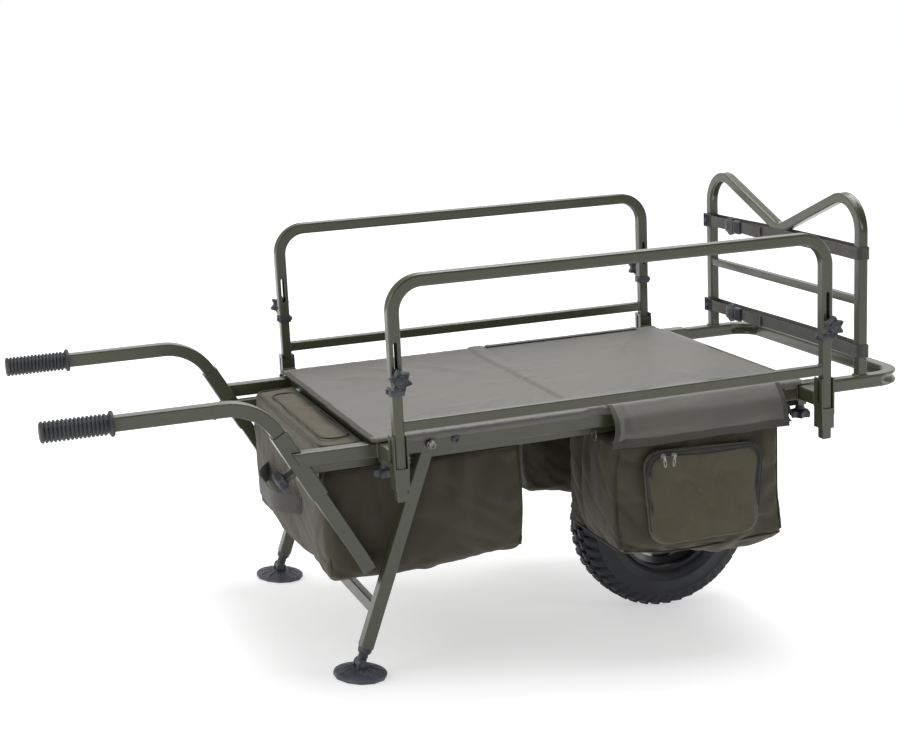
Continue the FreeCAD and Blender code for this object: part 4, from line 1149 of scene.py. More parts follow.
def flap_profile(t):
    """Down a flap from the rail's top edge, as (outward, height)."""
    points = [(-0.012, 0.005), (-0.004, 0.0062), (0.002, 0.005), (0.008, 0.0), (0.0165, -0.0085),
              (0.025, -0.018), (0.031, -0.03), (0.0345, -0.042), (0.0362, -0.052), (0.037, -0.061),
              (0.0368, -0.068)]
    k = t * (len(points) - 1)
    i = min(int(k), len(points) - 2)
    u = k - i
    before, after = points[max(i - 1, 0)], points[min(i + 2, len(points) - 1)]
    a, b = points[i], points[i + 1]
    made = []
    for c in range(2):
        m0, m1 = (b[c] - before[c]) / 2, (after[c] - a[c]) / 2
        made.append((2 * u ** 3 - 3 * u ** 2 + 1) * a[c] + (u ** 3 - 2 * u ** 2 + u) * m0
                    + (3 * u ** 2 - 2 * u ** 3) * b[c] + (u ** 3 - u ** 2) * m1)
    return made


def flap_point(x, t, lift=0.0):
    """A point of the near flap: t runs from its top to its hem. Its rear corner is gathered and rolled under."""
    out, fall = flap_profile(t)
    rear = hump(x, FLAP_X[0], 0.06)
    front = hump(x, FLAP_X[1], 0.04)
    gather = ease(t / 0.5) * rear
    out += 0.003 * gather * math.sin((x - FLAP_X[0]) * 190) + 0.002 * ease(t) * ripple(x * 5, t * 2, 5)
    out -= 0.01 * ease((t - 0.55) / 0.45) * rear ** 2
    out += 0.0016 * front * math.sin(t * 9)
    fall += 0.0022 * ripple(x * 4, t, 15) * t - 0.0045 * ease(t) * ease((x - FLAP_X[0]) / 0.1) * 0.4
    return x + 0.006 * rear * math.sin(t * 3.2), -(DECK_EDGE + out + lift), CLOTH_Z + CLOTH_T + fall


def make_flaps():
    """The side flaps over the bags: coated cloth with a taped hem, gathered at the rear corner."""
    for name, side in SIDES:
        rings = []
        for i in range(121):
            x = FLAP_X[0] + (FLAP_X[1] - FLAP_X[0]) * i / 120
            rings.append([flap_point(x, k / 30) for k in range(31)])
        sheet = loft(rings, closed=False, capped=False)
        made = build(name + "_flap_sheet", [on_side(sheet, side)], LOOKS["cloth"], 60)
        settled(made, ("SOLIDIFY", {"thickness": 0.0015, "offset": 0.0}))
        smooth(made, 60)
        place(made, "frame", "deck_cloth")
        low = [flap_point(FLAP_X[0] + (FLAP_X[1] - FLAP_X[0]) * i / 100, 0.925, 0.0003) for i in range(101)]
        rear = [flap_point(FLAP_X[0] + 0.005, 0.18 + 0.8 * i / 30, 0.0003) for i in range(31)]
        front = [flap_point(FLAP_X[1] - 0.005, 0.18 + 0.8 * i / 30, 0.0003) for i in range(31)]
        tapes = [ribbon(low, (0, 0.12, 1), 0.015, 0.003)]
        tapes += [ribbon(edge, (1, 0, 0), 0.01, 0.003) for edge in (rear, front)]
        hem = add(name + "_flap_tape", [on_side(tape, side) for tape in tapes], "tape", "frame", "webbing", sharp=50)
        gusset = []
        for i in range(9):
            t = i / 8
            x = FLAP_X[1] - 0.002 + 0.01 * math.sin(t * math.pi * 2.5)
            gusset.append([(x + 0.004 * math.sin(k * 1.3), -(DECK_EDGE - 0.002 + 0.036 * t * (k / 10) ** 0.6),
                            CLOTH_Z - 0.002 - 0.062 * k / 10) for k in range(11)])
        sheet = loft(gusset, closed=False, capped=False)
        fold = build(name + "_flap_gusset", [on_side(sheet, side)], LOOKS["trim"], 60)
        settled(fold, ("SOLIDIFY", {"thickness": 0.0015, "offset": 0.0}))
        place(fold, "frame", "bag_cloth")


# ---------------------------------------------------------------- filled bags

def soft_box(low, high, radius, gap=0.007, corner_steps=3):
    """A closed box of even cells with rounded edges."""
    half = [(b - a) / 2 for a, b in zip(low, high)]
    centre = Vector([(a + b) / 2 for a, b in zip(low, high)])
    stations = []
    for size in half:
        flat = size - radius
        cells = max(2, round(2 * flat / gap))
        arc = [radius * math.tan(math.pi / 4 * k / corner_steps) for k in range(1, corner_steps + 1)]
        stations.append([-flat - a for a in reversed(arc)] + [-flat + 2 * flat * i / cells for i in range(cells + 1)]
                        + [flat + a for a in arc])
    points, known, faces = [], {}, []

    def vertex(key):
        if key not in known:
            at = [stations[axis][key[axis]] for axis in range(3)]
            inner = [max(radius - half[axis], min(half[axis] - radius, at[axis])) for axis in range(3)]
            out = Vector(at) - Vector(inner)
            known[key] = len(points)
            points.append(tuple(centre + Vector(inner) + out.normalized() * radius))
        return known[key]

    for axis in range(3):
        u, v = (axis + 1) % 3, (axis + 2) % 3
        for end in (0, len(stations[axis]) - 1):
            for a in range(len(stations[u]) - 1):
                for b in range(len(stations[v]) - 1):
                    face = []
                    for da, db in ((0, 0), (1, 0), (1, 1), (0, 1)):
                        key = [0, 0, 0]
                        key[axis], key[u], key[v] = end, a + da, b + db
                        face.append(vertex(tuple(key)))
                    faces.append(tuple(face) if end else tuple(reversed(face)))
    return points, faces


FILL_FRAMES = 16


def filled_out(made, sewn, pressure, cap):
    """The cloth filled by a light pressure, held where it is sewn, and never further than cap from its cut."""
    mesh = made.data
    cut = [v.co.copy() for v in mesh.vertices]
    held = [i for i, point in enumerate(cut) if sewn(*(LEVEL_TO_STANDING.inverted() @ point))]
    made.vertex_groups.new(name="sewn").add(held, 1.0, "REPLACE")
    modifier = made.modifiers.new("Filled", "CLOTH")
    cloth = modifier.settings
    cloth.quality = 4
    cloth.mass = 0.25
    cloth.tension_stiffness = cloth.compression_stiffness = 12.0
    cloth.shear_stiffness = 6.0
    cloth.bending_stiffness = 0.6
    cloth.use_pressure = True
    cloth.uniform_pressure_force = pressure
    cloth.shrink_min = -0.012
    cloth.effector_weights.gravity = 0.5
    cloth.vertex_group_mass = "sewn"
    modifier.point_cache.frame_end = FILL_FRAMES
    for frame_number in range(1, FILL_FRAMES + 1):
        bpy.context.scene.frame_set(frame_number)
    shape = made.evaluated_get(bpy.context.evaluated_depsgraph_get())
    moved = [v.co.copy() for v in shape.data.vertices]
    made.modifiers.clear()
    made.vertex_groups.clear()
    bpy.context.scene.frame_set(1)
    for vertex, before, after in zip(mesh.vertices, cut, moved):
        shift = after - before
        length = shift.length
        vertex.co = before + shift * (cap * math.tanh(length / cap) / max(length, 1e-9))
    settled(made, ("SUBSURF", {"levels": 1}))
    smooth(made, 60)


def dented(part, amounts, seed, roughness=1.0):
    """The part with soft dents pushed into its cloth: amounts are how deep along x, y and z."""
    def push(x, y, z):
        deep = ripple(x * 4.2 + z * 2.1, y * 3.4 - z * 3.0, seed) + 0.45 * ripple(
            x * 11 - z * 5, y * 9 + z * 8, seed + 1) * roughness
        line = abs(ripple(x * 5.0 + z * 3.6, y * 5.0 - z * 4.0 + x, seed + 2))
        deep += 0.9 * max(0.0, 1 - line * 1.6) ** 4
        return tuple(c + a * deep for c, a in zip((x, y, z), amounts))
    return mapped(part, push)


def cord(route, radius, closed=False, steps=8):
    """A round cord or a piping along a route."""
    rings = []
    angles = [2 * math.pi * k / steps for k in range(steps)]
    up = None
    for point, along in zip(route, directions(route, closed)):
        up = along.orthogonal().normalized() if up is None else (up - along * along.dot(up)).normalized()
        side = along.cross(up)
        rings.append([Vector(point) + (up * math.cos(a) + side * math.sin(a)) * radius for a in angles])
    return loft(rings, around=closed)


def rounded_route(corners, radius, gap=0.006):
    """A closed flat route with rounded corners, as evenly spaced points."""
    corners = [Vector(c) for c in corners]
    made = []
    for i, corner in enumerate(corners):
        before = (corners[i - 1] - corner).normalized()
        after = (corners[(i + 1) % len(corners)] - corner).normalized()
        half = before.angle(after) / 2
        trim = radius / math.tan(half)
        centre = corner + (before + after).normalized() * (radius / math.sin(half))
        start = corner + before * trim
        end = corner + after * trim
        for k in range(9):
            t = k / 8
            on = start.lerp(end, t) - centre
            made.append(centre + on.normalized() * radius)
    return spaced(made, gap, closed=True)


def near_edge(value, low, high, reach):
    """Whether a value is within reach of either end."""
    return value < low + reach or value > high - reach


def make_rear_bag(sizes):
    """The rear bag: a filled body with piped edges, a raised lid with its own seam, and a lining band."""
    (x0, x1), (z0, z1) = BAG_X, BAG_Z
    body = soft_box((x0, -BAG_HALF, z0), (x1, BAG_HALF, z1 + 0.003), 0.02, 0.0085)

    def shaped(x, y, z):
        low = ease((z0 + 0.1 - z) / 0.1)
        sag = 0.004 * math.sin((x - x0) / (x1 - x0) * math.pi * 1.5) * low
        fold = -0.01 * hump(x, 0.155, 0.03) * ease((abs(y) - 0.2) / 0.06) * ease((z - z0) / 0.1)
        lean = 0.006 * math.copysign(1, y) * ease((abs(y) - 0.1) / 0.17) * math.sin((z - z0) / 0.214 * math.pi)
        return x - 0.004 * low * (1 if x > 0.1 else -1), y + math.copysign(fold, y) + lean, z - sag
    body = dented(mapped(body, shaped), (0.004, 0.0058, 0.0016), 31)
    made = build("rear_bag_body", [body], LOOKS["bag"], 60)

    def sewn(x, y, z):
        close = [near_edge(x, x0, x1, 0.012), near_edge(y, -BAG_HALF, BAG_HALF, 0.012), near_edge(z, z0, z1, 0.012)]
        return sum(close) >= 2 or z > z1 - 0.002
    filled_out(made, sewn, sizes.swell, 0.007)
    place(made, "frame", "bag_cloth", "rear_bag")
    lid_x = (x0 + 0.003, -0.02)
    lid = soft_box((lid_x[0], -0.254, z1 - 0.006), (lid_x[1], 0.254, 0.434), 0.012, 0.0075)
    lid = dented(lid, (0.001, 0.001, 0.0026), 41)
    # The lid is drawn in the lighter copy of the bag cloth: painted light on its top
    top = build("rear_bag_lid", [lid], LOOKS["bag_top"], 60)
    filled_out(top, lambda x, y, z: z < 0.405 or x > -0.035, sizes.swell * 0.5, 0.003)
    place(top, "frame", "bag_cloth")
    seams = [cord(rounded_route([(lid_x[0] + 0.006, -0.246, 0.4335), (lid_x[0] + 0.006, 0.246, 0.4335),
                                 (-0.026, 0.246, 0.4335), (-0.026, -0.246, 0.4335)], 0.02), 0.002, True)]
    seams.append(cord(rounded_route([(lid_x[0] + 0.024, -0.2, 0.4352), (lid_x[0] + 0.024, 0.2, 0.4352),
                                     (-0.034, 0.2, 0.4352), (-0.034, -0.2, 0.4352)], 0.022), 0.0015, True))
    for y in (-BAG_HALF + 0.0065, BAG_HALF - 0.0065):
        hand = math.copysign(1, y)
        seams.append(cord([(x0 + 0.008 + (x1 - x0 - 0.016) * i / 50, y + hand * 0.0015 * ripple(i * 0.06, 0, 5),
                            z1 - 0.004) for i in range(51)], 0.0022))
        for x in (x0 + 0.0062, x1 - 0.0062):
            seams.append(cord([mapped(([(x, y, z0 + 0.014 + (z1 - z0 - 0.02) * i / 30)], []), shaped)[0][0]
                               for i in range(31)], 0.0022))
    add("rear_bag_piping", seams, "trim", "frame", "webbing", sharp=60)
    band = [(x0 - 0.0006, y, 0.3875) for y in (-0.262 + 0.524 * i / 60 for i in range(61))]
    add("rear_bag_band", [ribbon(band, (0, 0, 1), 0.016, 0.0022)], "trim", "frame", "webbing", sharp=50)


def make_grab_loop():
    """The webbing loop on the rear bag's end, bowed out and sewn down at both ends with rows of stitches."""
    x, half, z = BAG_X[0] - 0.0015, 0.13, 0.296
    route = []
    for i in range(81):
        t = -1 + i / 40
        bow = 0.043 * math.cos(t * math.pi / 2) ** 0.75 * (1 - 0.1 * math.cos(t * 5))
        route.append((x - bow - 0.0016, t * (half - 0.006), z + 0.003 * math.sin(t * 2.4) - 0.004 * (1 - t * t)))
    route = [(x - 0.0016, -half, z)] + route + [(x - 0.0016, half, z)]
    add("grab_loop_webbing", [ribbon(route, (0, 0, 1), 0.038, 0.003, 0.25)], "webbing", "frame", "webbing",
        "grab_loop", sharp=50)
    rows = []
    for y in (-half + 0.006, half - 0.006):
        for dy in (-0.006, 0.006):
            rows += stitches([(x - 0.0042, y + dy, z - 0.016), (x - 0.0042, y + dy, z + 0.016)])
    add("grab_loop_stitching", rows, "lining", "frame", "webbing", sharp=60)


def pocket_corners(out):
    """The near pocket's outline: a little narrower at its foot, and leaning back at its front."""
    return [(0.4845, -out, 0.37), (0.7385, -out, 0.36), (0.7235, -out, 0.183), (0.499, -out, 0.187)]


def pocket_shell():
    """The pocket's front: a rounded shape standing off the bag's face, closed behind."""
    rings = []
    face = PANNIER_Y[1]
    outline = rounded_route(pocket_corners(0.0), 0.032, 0.0065)
    centre = sum(outline, Vector()) / len(outline)
    for inset, out in ((0.0, 0.0), (-0.0006, 0.006), (-0.0006, 0.012), (0.0015, 0.0165), (0.006, 0.0195),
                       (0.012, 0.0212), (0.024, 0.0222), (0.04, 0.0228)):
        ring = []
        for point in outline:
            inward = (centre - point).normalized()
            lean = out * (0.1 + 0.85 * (0.372 - point.z) / 0.19) * 0.45
            ring.append(point + inward * inset + Vector((0, -(face + out * 0.86 + lean), 0)))
        rings.append(ring)
    last = rings[-1]
    middle = sum(last, Vector()) / len(last)
    for share in (0.93, 0.86, 0.79, 0.72, 0.65, 0.58, 0.51, 0.44, 0.37, 0.3, 0.22, 0.14, 0.06):
        rings.append([middle.lerp(point, share) for point in last])
    return loft(rings)


def make_panniers(sizes):
    """The side bags: filled bodies with piped corners, a raised front pocket, and a zip round its top."""
    for name, side in SIDES:
        (x0, x1), (z0, z1) = PANNIER_X, PANNIER_Z
        face, back = -PANNIER_Y[1], -PANNIER_Y[0]
        body = soft_box((x0, face, z0), (x1, back, z1), 0.016, 0.007)

        def shaped(x, y, z):
            rear = ease((0.56 - x) / 0.12)
            low = ease((0.26 - z) / 0.1)
            z = z + low * 0.012 * rear - 0.004 * low * math.sin((x - x0) / 0.345 * 3.1)
            z -= 0.024 * ease((0.19 - z) / 0.03) * hump(x, 0.705, 0.19) * ease((y - face - 0.004) / 0.03)
            flare = 0.009 * low * ease((x - 0.6) / 0.18)
            return x - rear * 0.012 * math.sin((z - z0) / 0.232 * 3.14) * (1 if y < -0.2 else 0.3) + flare, y, z
        body = dented(mapped(body, shaped), (0.0046, 0.0052, 0.0024), 51 + side, 1.3)
        made = build(name + "_pannier_body", [on_side(body, side)], LOOKS["bag"], 60)

        def sewn(x, y, z):
            close = [near_edge(x, x0 - 0.012, x1, 0.011), near_edge(-abs(y), face, back, 0.011),
                     near_edge(z, z0, z1, 0.011)]
            return (sum(close) >= 2 and z > z0 - 0.006) or z > z1 - 0.012
        filled_out(made, sewn, sizes.swell * 1.2, 0.008)
        place(made, "frame", "bag_cloth", "pannier_" + name)
        pocket = dented(pocket_shell(), (0.0, 0.0042, 0.0), 61 + side, 1.0)
        # The pocket front is drawn in the lighter copy of the bag cloth: painted light where it bulges up into the
        # lamps
        front = build(name + "_pocket_front", [on_side(pocket, side)], LOOKS["bag_top"], 60)
        settled(front, ("SUBSURF", {"levels": 1}))
        filled_out(front, lambda x, y, z: abs(y) < PANNIER_Y[1] + 0.0185, sizes.swell * 0.25, 0.003)
        place(front, "frame", "bag_cloth")
        foot = z0 + 0.005
        runs = [((x0 + 0.012, face + 0.0045, foot), (x1 - 0.012, face + 0.0045, foot), 50, 0.0023)]
        for x in (x0 + 0.005, x1 - 0.005):
            runs.append(((x, face + 0.005, z0 + 0.012), (x, face + 0.005, z1 - 0.008), 40, 0.0023))
            runs.append(((x, face + 0.01, foot), (x, back - 0.01, foot), 30, 0.0021))
        piping = [cord([shaped(*Vector(a).lerp(Vector(b), i / steps)) for i in range(steps + 1)], radius)
                  for a, b, steps, radius in runs]
        rim = rounded_route(pocket_corners(PANNIER_Y[1] + 0.0005), 0.0325, 0.005)
        piping.append(cord(rim, 0.0022, True))
        add(name + "_pannier_piping", [on_side(p, side) for p in piping], "trim", "frame", "webbing", sharp=60)
        make_zip(name, side)


def zip_route(inset, out):
    """The zip's run: up the pocket's rear side, over its top and down its front side."""
    outline = rounded_route(pocket_corners(PANNIER_Y[1] + out), 0.032, 0.004)
    centre = sum(outline, Vector()) / len(outline)
    run = [p + (centre - p).normalized() * inset for p in outline]
    start = min(range(len(run)), key=lambda i: (run[i] - Vector((0.497, run[i].y, 0.215))).length)
    end = min(range(len(run)), key=lambda i: (run[i] - Vector((0.728, run[i].y, 0.235))).length)
    return run[start:] + run[:end + 1] if start > end else run[start:end + 1]


def make_zip(name, side):
    """A coil zip let into the pocket's edge: two tapes and a double row of coils."""
    middle = zip_route(0.0062, 0.0198)
    tapes = []
    for shift in (0.0002, 0.0122):
        tapes.append(cord(zip_route(shift, 0.0178 + shift * 0.16), 0.0012))
    coils = []
    points = spaced(middle, 0.0021)
    centre = Vector((0.612, points[0].y, 0.275))
    for here, ahead in zip(points, points[1:]):
        inward = (centre - here).normalized()
        for hand in (-1, 1):
            coils.append(mapped(block((0.001, 0.0034, 0.0022), 0.0003),
                                Matrix.Translation(here + inward * 0.0014 * hand)
                                @ facing((0, 0, 0), (0, -1, 0), math.atan2(ahead.z - here.z, ahead.x - here.x))))
    add(name + "_pocket_zip", [on_side(c, side) for c in coils], "stem", "frame", "zip_metal", sharp=40)
    add(name + "_zip_tape", [on_side(t, side) for t in tapes], "trim", "frame", "webbing", sharp=60)


# ---------------------------------------------------------------- straps, buckles and their locks

POST_FACE = BOARD_X - BOARD_TUBE / 2


def strap_band(z):
    """The strap's run: round the far post, behind the V, across to the near post and round it."""
    half = BOARD_TUBE / 2 + 0.0022
    far, turn = FRAME_Y, FRAME_Y + half
    route = [(-half, far - 0.016), (-half, turn - 0.003), (0.003 - half, turn), (half - 0.003, turn),
             (half, turn - 0.003), (half, far - 0.004), (half - 0.0006, far - 0.05), (half - 0.0004, 0.0),
             (half - 0.0006, 0.05 - far), (half, 0.004 - far), (half, 0.003 - turn), (half - 0.003, -turn),
             (0.003 - half, -turn), (-half, 0.003 - turn), (-half, 0.014 - far), (0.0012 - half, 0.05 - far),
             (0.0006 - half, 0.0), (-0.0004 - half, BUCKLE_Y - 0.042)]
    points = spaced([Vector((BOARD_X + x, y, z)) for x, y in route], 0.004)
    return [p + Vector((0, 0, 0.0012 * math.sin(p.y * 9 + z * 30))) for p in points]


def side_release_buckle(z):
    """A side-release buckle: a closed body, the two prongs along its sides, and the strap bars."""
    at = (POST_FACE - 0.0088, BUCKLE_Y, z)

    def laid(part):
        return mapped(part, lambda x, y, h: (at[0] - h, at[1] + y, at[2] + x))
    parts = []
    shell = []
    for y, wide, tall in ((-0.004, 0.0122, 0.004), (-0.002, 0.0142, 0.005), (0.004, 0.015, 0.0054),
                          (0.02, 0.0146, 0.0054), (0.027, 0.0134, 0.0052), (0.03, 0.0126, 0.0042)):
        ring, _ = square_section(wide * 2, tall * 2, 0.0026, 3, 3)
        shell.append([(u, y, v) for u, v in ring])
    parts.append(laid(loft(shell)))
    for hand in (-1, 1):
        prong = []
        for k in range(13):
            t = k / 12
            x = hand * (0.015 + 0.003 * math.sin(t * math.pi) - 0.0012 * t)
            wide = 0.003 - 0.0008 * abs(2 * t - 1)
            ring, _ = square_section(wide * 2, 0.007, 0.001, 2, 2)
            prong.append([(x + u, 0.001 + 0.02 * t, v) for u, v in ring])
        parts.append(laid(loft(prong)))
    tail = []
    for y, wide, tall in ((-0.03, 0.0142, 0.0034), (-0.027, 0.0148, 0.0042), (-0.009, 0.0146, 0.0044),
                          (-0.0055, 0.0124, 0.0036)):
        ring, _ = square_section(wide * 2, tall * 2, 0.0018, 3, 3)
        tail.append([(u, y, v) for u, v in ring])
    parts.append(laid(loft(tail)))
    for k in range(5):
        rib = block((0.0225, 0.0016, 0.0014), 0.0004)
        parts.append(laid(mapped(rib, Matrix.Translation((0, -0.0255 + k * 0.0036, 0.0045)))))
    for y in (0.0075, 0.0125, 0.0175):
        rib = block((0.015, 0.0014, 0.0012), 0.0004)
        parts.append(laid(mapped(rib, Matrix.Translation((0, y, 0.0055)))))
    return parts


def ladder_lock(z):
    """The ladder lock that fixes a strap to the far post, with its rivet."""
    at = (POST_FACE - 0.0044, FRAME_Y - 0.002, z)
    parts = []
    for y, wide in ((-0.013, 0.0032), (-0.0045, 0.0026), (0.0045, 0.0026), (0.0125, 0.0034)):
        parts.append(mapped(block((0.0046, wide, 0.0285), 0.0008), Matrix.Translation((at[0], at[1] + y, at[2]))))
    for hand in (-1, 1):
        parts.append(mapped(block((0.0046, 0.0285, 0.003), 0.0008),
                            Matrix.Translation((at[0], at[1], at[2] + hand * 0.0138))))
    parts.append(mapped(turned([(0.004, 0.0), (0.004, 0.0012), (0.0032, 0.0026), (0.0016, 0.0031)], 24),
                        facing((at[0] - 0.0022, at[1], at[2]), (-1, 0, 0))))
    return parts


def make_straps():
    """The headboard's two straps: webbing round both posts, a side-release buckle and a ladder lock on each."""
    bands, buckles, locks, tails = [], [], [], []
    for z in STRAP_ZS:
        bands.append(ribbon(strap_band(z), (0, 0, 1), STRAP_WIDTH, 0.0017))
        start = BUCKLE_Y + 0.028
        run = FRAME_Y - 0.012 - start
        join = [(POST_FACE - 0.003 - 0.0012 * math.sin(i / 14 * math.pi), start + run * i / 14, z)
                for i in range(15)]
        bands.append(ribbon(join, (0, 0, 1), STRAP_WIDTH * 0.98, 0.0017))
        loose = []
        for i in range(22):
            t = i / 21
            out = POST_FACE - 0.0044 - 0.0035 * math.sin(t * 2.6)
            loose.append((out, BUCKLE_Y - 0.022 - 0.085 * t, z - 0.0015 * t))
        tails.append(ribbon(loose, (0, 0, 1), STRAP_WIDTH * 0.97, 0.0016))
        tails.append(ribbon([loose[-1], (loose[-1][0] - 0.0003, loose[-1][1] - 0.006, z - 0.0015)], (0, 0, 1),
                            STRAP_WIDTH * 0.97, 0.0036))
        buckles += side_release_buckle(z)
        locks += ladder_lock(z)
    add("headboard_strap_webbing", bands + tails, "webbing", "frame", "webbing", "headboard_straps", sharp=50)
    add("strap_buckle_bodies", buckles, "buckle", "frame", "buckle_plastic", "strap_buckles", sharp=32)
    add("strap_ladder_locks", locks, "buckle", "frame", "buckle_plastic", "strap_anchors", sharp=32)


# ---------------------------------------------------------------- zip sliders and flap rings

def leaf_puller(height):
    """A leaf-shaped puller with a window, drawn down from its bail."""
    outer, inner = [], []
    for k in range(33):
        t = k / 32 * 2 * math.pi
        wide = 0.0036 * (0.75 + 0.25 * math.sin(t * 0.5))
        outer.append((wide * math.sin(t), -height / 2 + height / 2 * math.cos(t)))
        inner.append((wide * 0.42 * math.sin(t), -height / 2 - 0.002 + height / 2 * 0.5 * math.cos(t)))
    outer, inner = outer[:-1], inner[:-1]
    rings = []
    for ring, depth in ((inner, -0.0006), (inner, 0.0006), (outer, 0.0007), (outer, -0.0007)):
        rings.append([(x, depth, z) for x, z in ring])
    return loft(rings, around=True)


def make_zip_sliders():
    """Two zip sliders on the near pocket: a wedge body, a bail and a leaf-shaped puller each."""
    for name, lean in (("zip_slider_left", -0.1), ("zip_slider_right", 0.14)):
        low, high = level_box(name)
        x = (low[0] + high[0]) / 2
        y, z = high[1], high[2] - 0.004
        wedge = []
        for dx, half in ((-0.0052, 0.0026), (-0.003, 0.0036), (0.002, 0.0042), (0.0048, 0.0032)):
            ring, _ = square_section(0.0036, half * 2, 0.001, 2, 2)
            wedge.append([(x + dx, y - 0.0022 + u, z + v) for u, v in ring])
        arch = [(x + dx, y - out, z) for dx, out in ((-0.0032, 0.0036), (-0.0026, 0.0056), (0, 0.0066),
                                                     (0.0026, 0.0056), (0.0032, 0.0036))]
        hang = Matrix.Translation((x, y - 0.0062, z + 0.001)) @ Matrix.Rotation(lean, 4, "Y")
        tab = mapped(leaf_puller(0.0225), hang)
        parts = [loft(wedge), cord(spaced(arch, 0.001), 0.0009), tab]
        add(name + "_metal", parts, "zip", "zip_" + name.rsplit("_", 1)[1], "zip_metal", name, sharp=40)


def level_box(name):
    """The CAD node's box, in the level cart."""
    node = frame["nodes"][name]
    back = LEVEL_TO_STANDING.inverted() @ node.matrix_world
    points = [back @ v.co for v in node.data.vertices]
    return [min(p[i] for p in points) for i in range(3)], [max(p[i] for p in points) for i in range(3)]


def make_d_rings():
    """The wire ring at each flap's rear corner, hung from a webbing tab."""
    wires, tabs = [], []
    for _, side in SIDES:
        y, z = side * (FRAME_Y + 0.012), RAIL_Z - RAIL / 2 - 0.0132
        route = [(0.408 + 0.0004 * math.sin(t), y + 0.01 * math.sin(t), z + 0.01 * math.cos(t))
                 for t in (2 * math.pi * i / 40 for i in range(40))]
        wires.append(cord(route, 0.0014, True, 10))
        fold = [(0.408, y + side * 0.0015, z + 0.006), (0.408, y + side * 0.003, z + 0.011),
                (0.408, y + side * 0.001, z + 0.015), (0.408, y - side * 0.001, z + 0.011),
                (0.408, y + side * 0.0002, z + 0.0065)]
        tabs.append(ribbon(fold, (1, 0, 0), 0.01, 0.0012))
    add("flap_ring_wire", wires, "ring", "frame", "zip_metal", "d_rings", sharp=50)
    add("flap_ring_tabs", tabs, "trim", "frame", "webbing", sharp=50)


# ---------------------------------------------------------------- mud feet and their stems

def foot_frame(side):
    """Where a foot's ankle is, on the level cart, and which way is up and down its leg."""
    ground_sin, ground_cos = math.sin(NOSE_UP), math.cos(NOSE_UP)
    length = (PIVOT_X * ground_sin + PIVOT_Z * ground_cos - 0.024) / (
        math.sin(LEG_LEAN) * ground_sin + math.cos(LEG_LEAN) * ground_cos)
    down = Vector((-math.sin(LEG_LEAN), 0, -math.cos(LEG_LEAN)))
    ankle = Vector((PIVOT_X, side * FRAME_Y, PIVOT_Z)) + down * length
    return ankle, down, length


def dome_edge(angle, height):
    """The foot's facets: twelve flats that fade towards the top."""
    turn = (angle + math.pi / 12) % (math.pi / 6) - math.pi / 12
    share = ease((0.012 - height) / 0.012)
    return 1 + share * (math.cos(math.pi / 12) / math.cos(turn) - 1.0)


def foot_dome():
    """A round mud foot about its sole's middle: rolled rim, ribbed dome, and ankle ears with their pin."""
    dome = turned([(0.03, 0.0022), (0.044, 0.0012), (0.048, 0.0), (0.0497, 0.0012), (0.05, 0.006),
                   (0.0494, 0.0082), (0.0474, 0.0096), (0.0436, 0.0104), (0.039, 0.0116), (0.033, 0.0134),
                   (0.027, 0.015), (0.023, 0.0158), (0.015, 0.0162)], 96, wobble=dome_edge)
    parts = [dome]
    for i in range(12):
        turn = 2 * math.pi * (i + 0.5) / 12
        rib = []
        for r, h in ((0.047, 0.009), (0.0415, 0.0116), (0.033, 0.0142), (0.025, 0.0162), (0.019, 0.0168)):
            at = Vector((r * math.cos(turn), r * math.sin(turn), h))
            across = Vector((-math.sin(turn), math.cos(turn), 0)) * 0.0011
            rib.append([at - across * 1.6 - Vector((0, 0, 0.0014)), at - across * 0.7 + Vector((0, 0, 0.0005)),
                        at + across * 0.7 + Vector((0, 0, 0.0005)), at + across * 1.6 - Vector((0, 0, 0.0014))])
        parts.append(loft(rib))
    for hand in (-1, 1):
        plan = [(-0.0125, 0.008), (-0.011, 0.016)]
        plan += [(0.01 * math.cos(a), 0.024 + 0.0098 * math.sin(a)) for a in
                 (math.radians(170 - 160 * i / 12) for i in range(13))]
        plan += [(0.011, 0.016), (0.0125, 0.008)]
        rings = []
        for y, grow in ((0.0096, 0.97), (0.0101, 1.0), (0.0135, 1.0), (0.014, 0.96)):
            rings.append([(x * grow, hand * y, 0.016 + (h - 0.016) * grow) for x, h in plan])
        parts.append(loft(rings))
        head = turned([(0.005, 0.0), (0.005, 0.0016), (0.0042, 0.0026), (0.0026, 0.003)], 24)
        parts.append(mapped(head, facing((0, hand * 0.014, 0.024), (0, hand, 0))))
    parts.append(mapped(turned([(0.003, -0.01), (0.003, 0.01)], 20), facing((0, 0, 0.024), (0, 1, 0))))
    return parts


def stem_parts(side):
    """A foot's stem: ribbed shank, the collar that closes the leg with its screw, and the ankle eye."""
    ankle, down, length = foot_frame(side)
    out = length - LEG_LENGTH
    rod = turned([(0.0082, 0.0), (0.0088, 0.003), (0.0088, out - 0.002), (0.0084, out + 0.064)], 32)
    parts = [mapped(rod, facing(ankle, -down))]
    for k in range(4):
        ring = turned([(0.0088, 0.0), (0.0095, 0.0008), (0.0095, 0.0022), (0.0088, 0.003)], 32, capped=False)
        parts.append(mapped(ring, facing(ankle - down * (0.0125 + k * 0.0055), -down)))
    collar = turned([(0.0092, 0.0), (0.0108, 0.0006), (0.0126, 0.0034), (0.0132, 0.006), (0.0132, 0.0118),
                     (0.0124, 0.0124)], 40)
    parts.append(mapped(collar, facing(ankle - down * (out - 0.0122), -down)))
    eye = turned([(0.0086, -0.008), (0.0096, -0.0072), (0.0096, 0.0072), (0.0086, 0.008)], 32)
    parts.append(mapped(eye, facing(ankle, (0, 1, 0))))
    screw = turned([(0.004, 0.0), (0.004, 0.0022), (0.0034, 0.003), (0.002, 0.003), (0.0018, 0.0018)], 24)
    parts.append(mapped(screw, facing(ankle - down * (out - 0.006) + Vector((0, side * 0.0128, 0)), (0, side, 0))))
    return parts


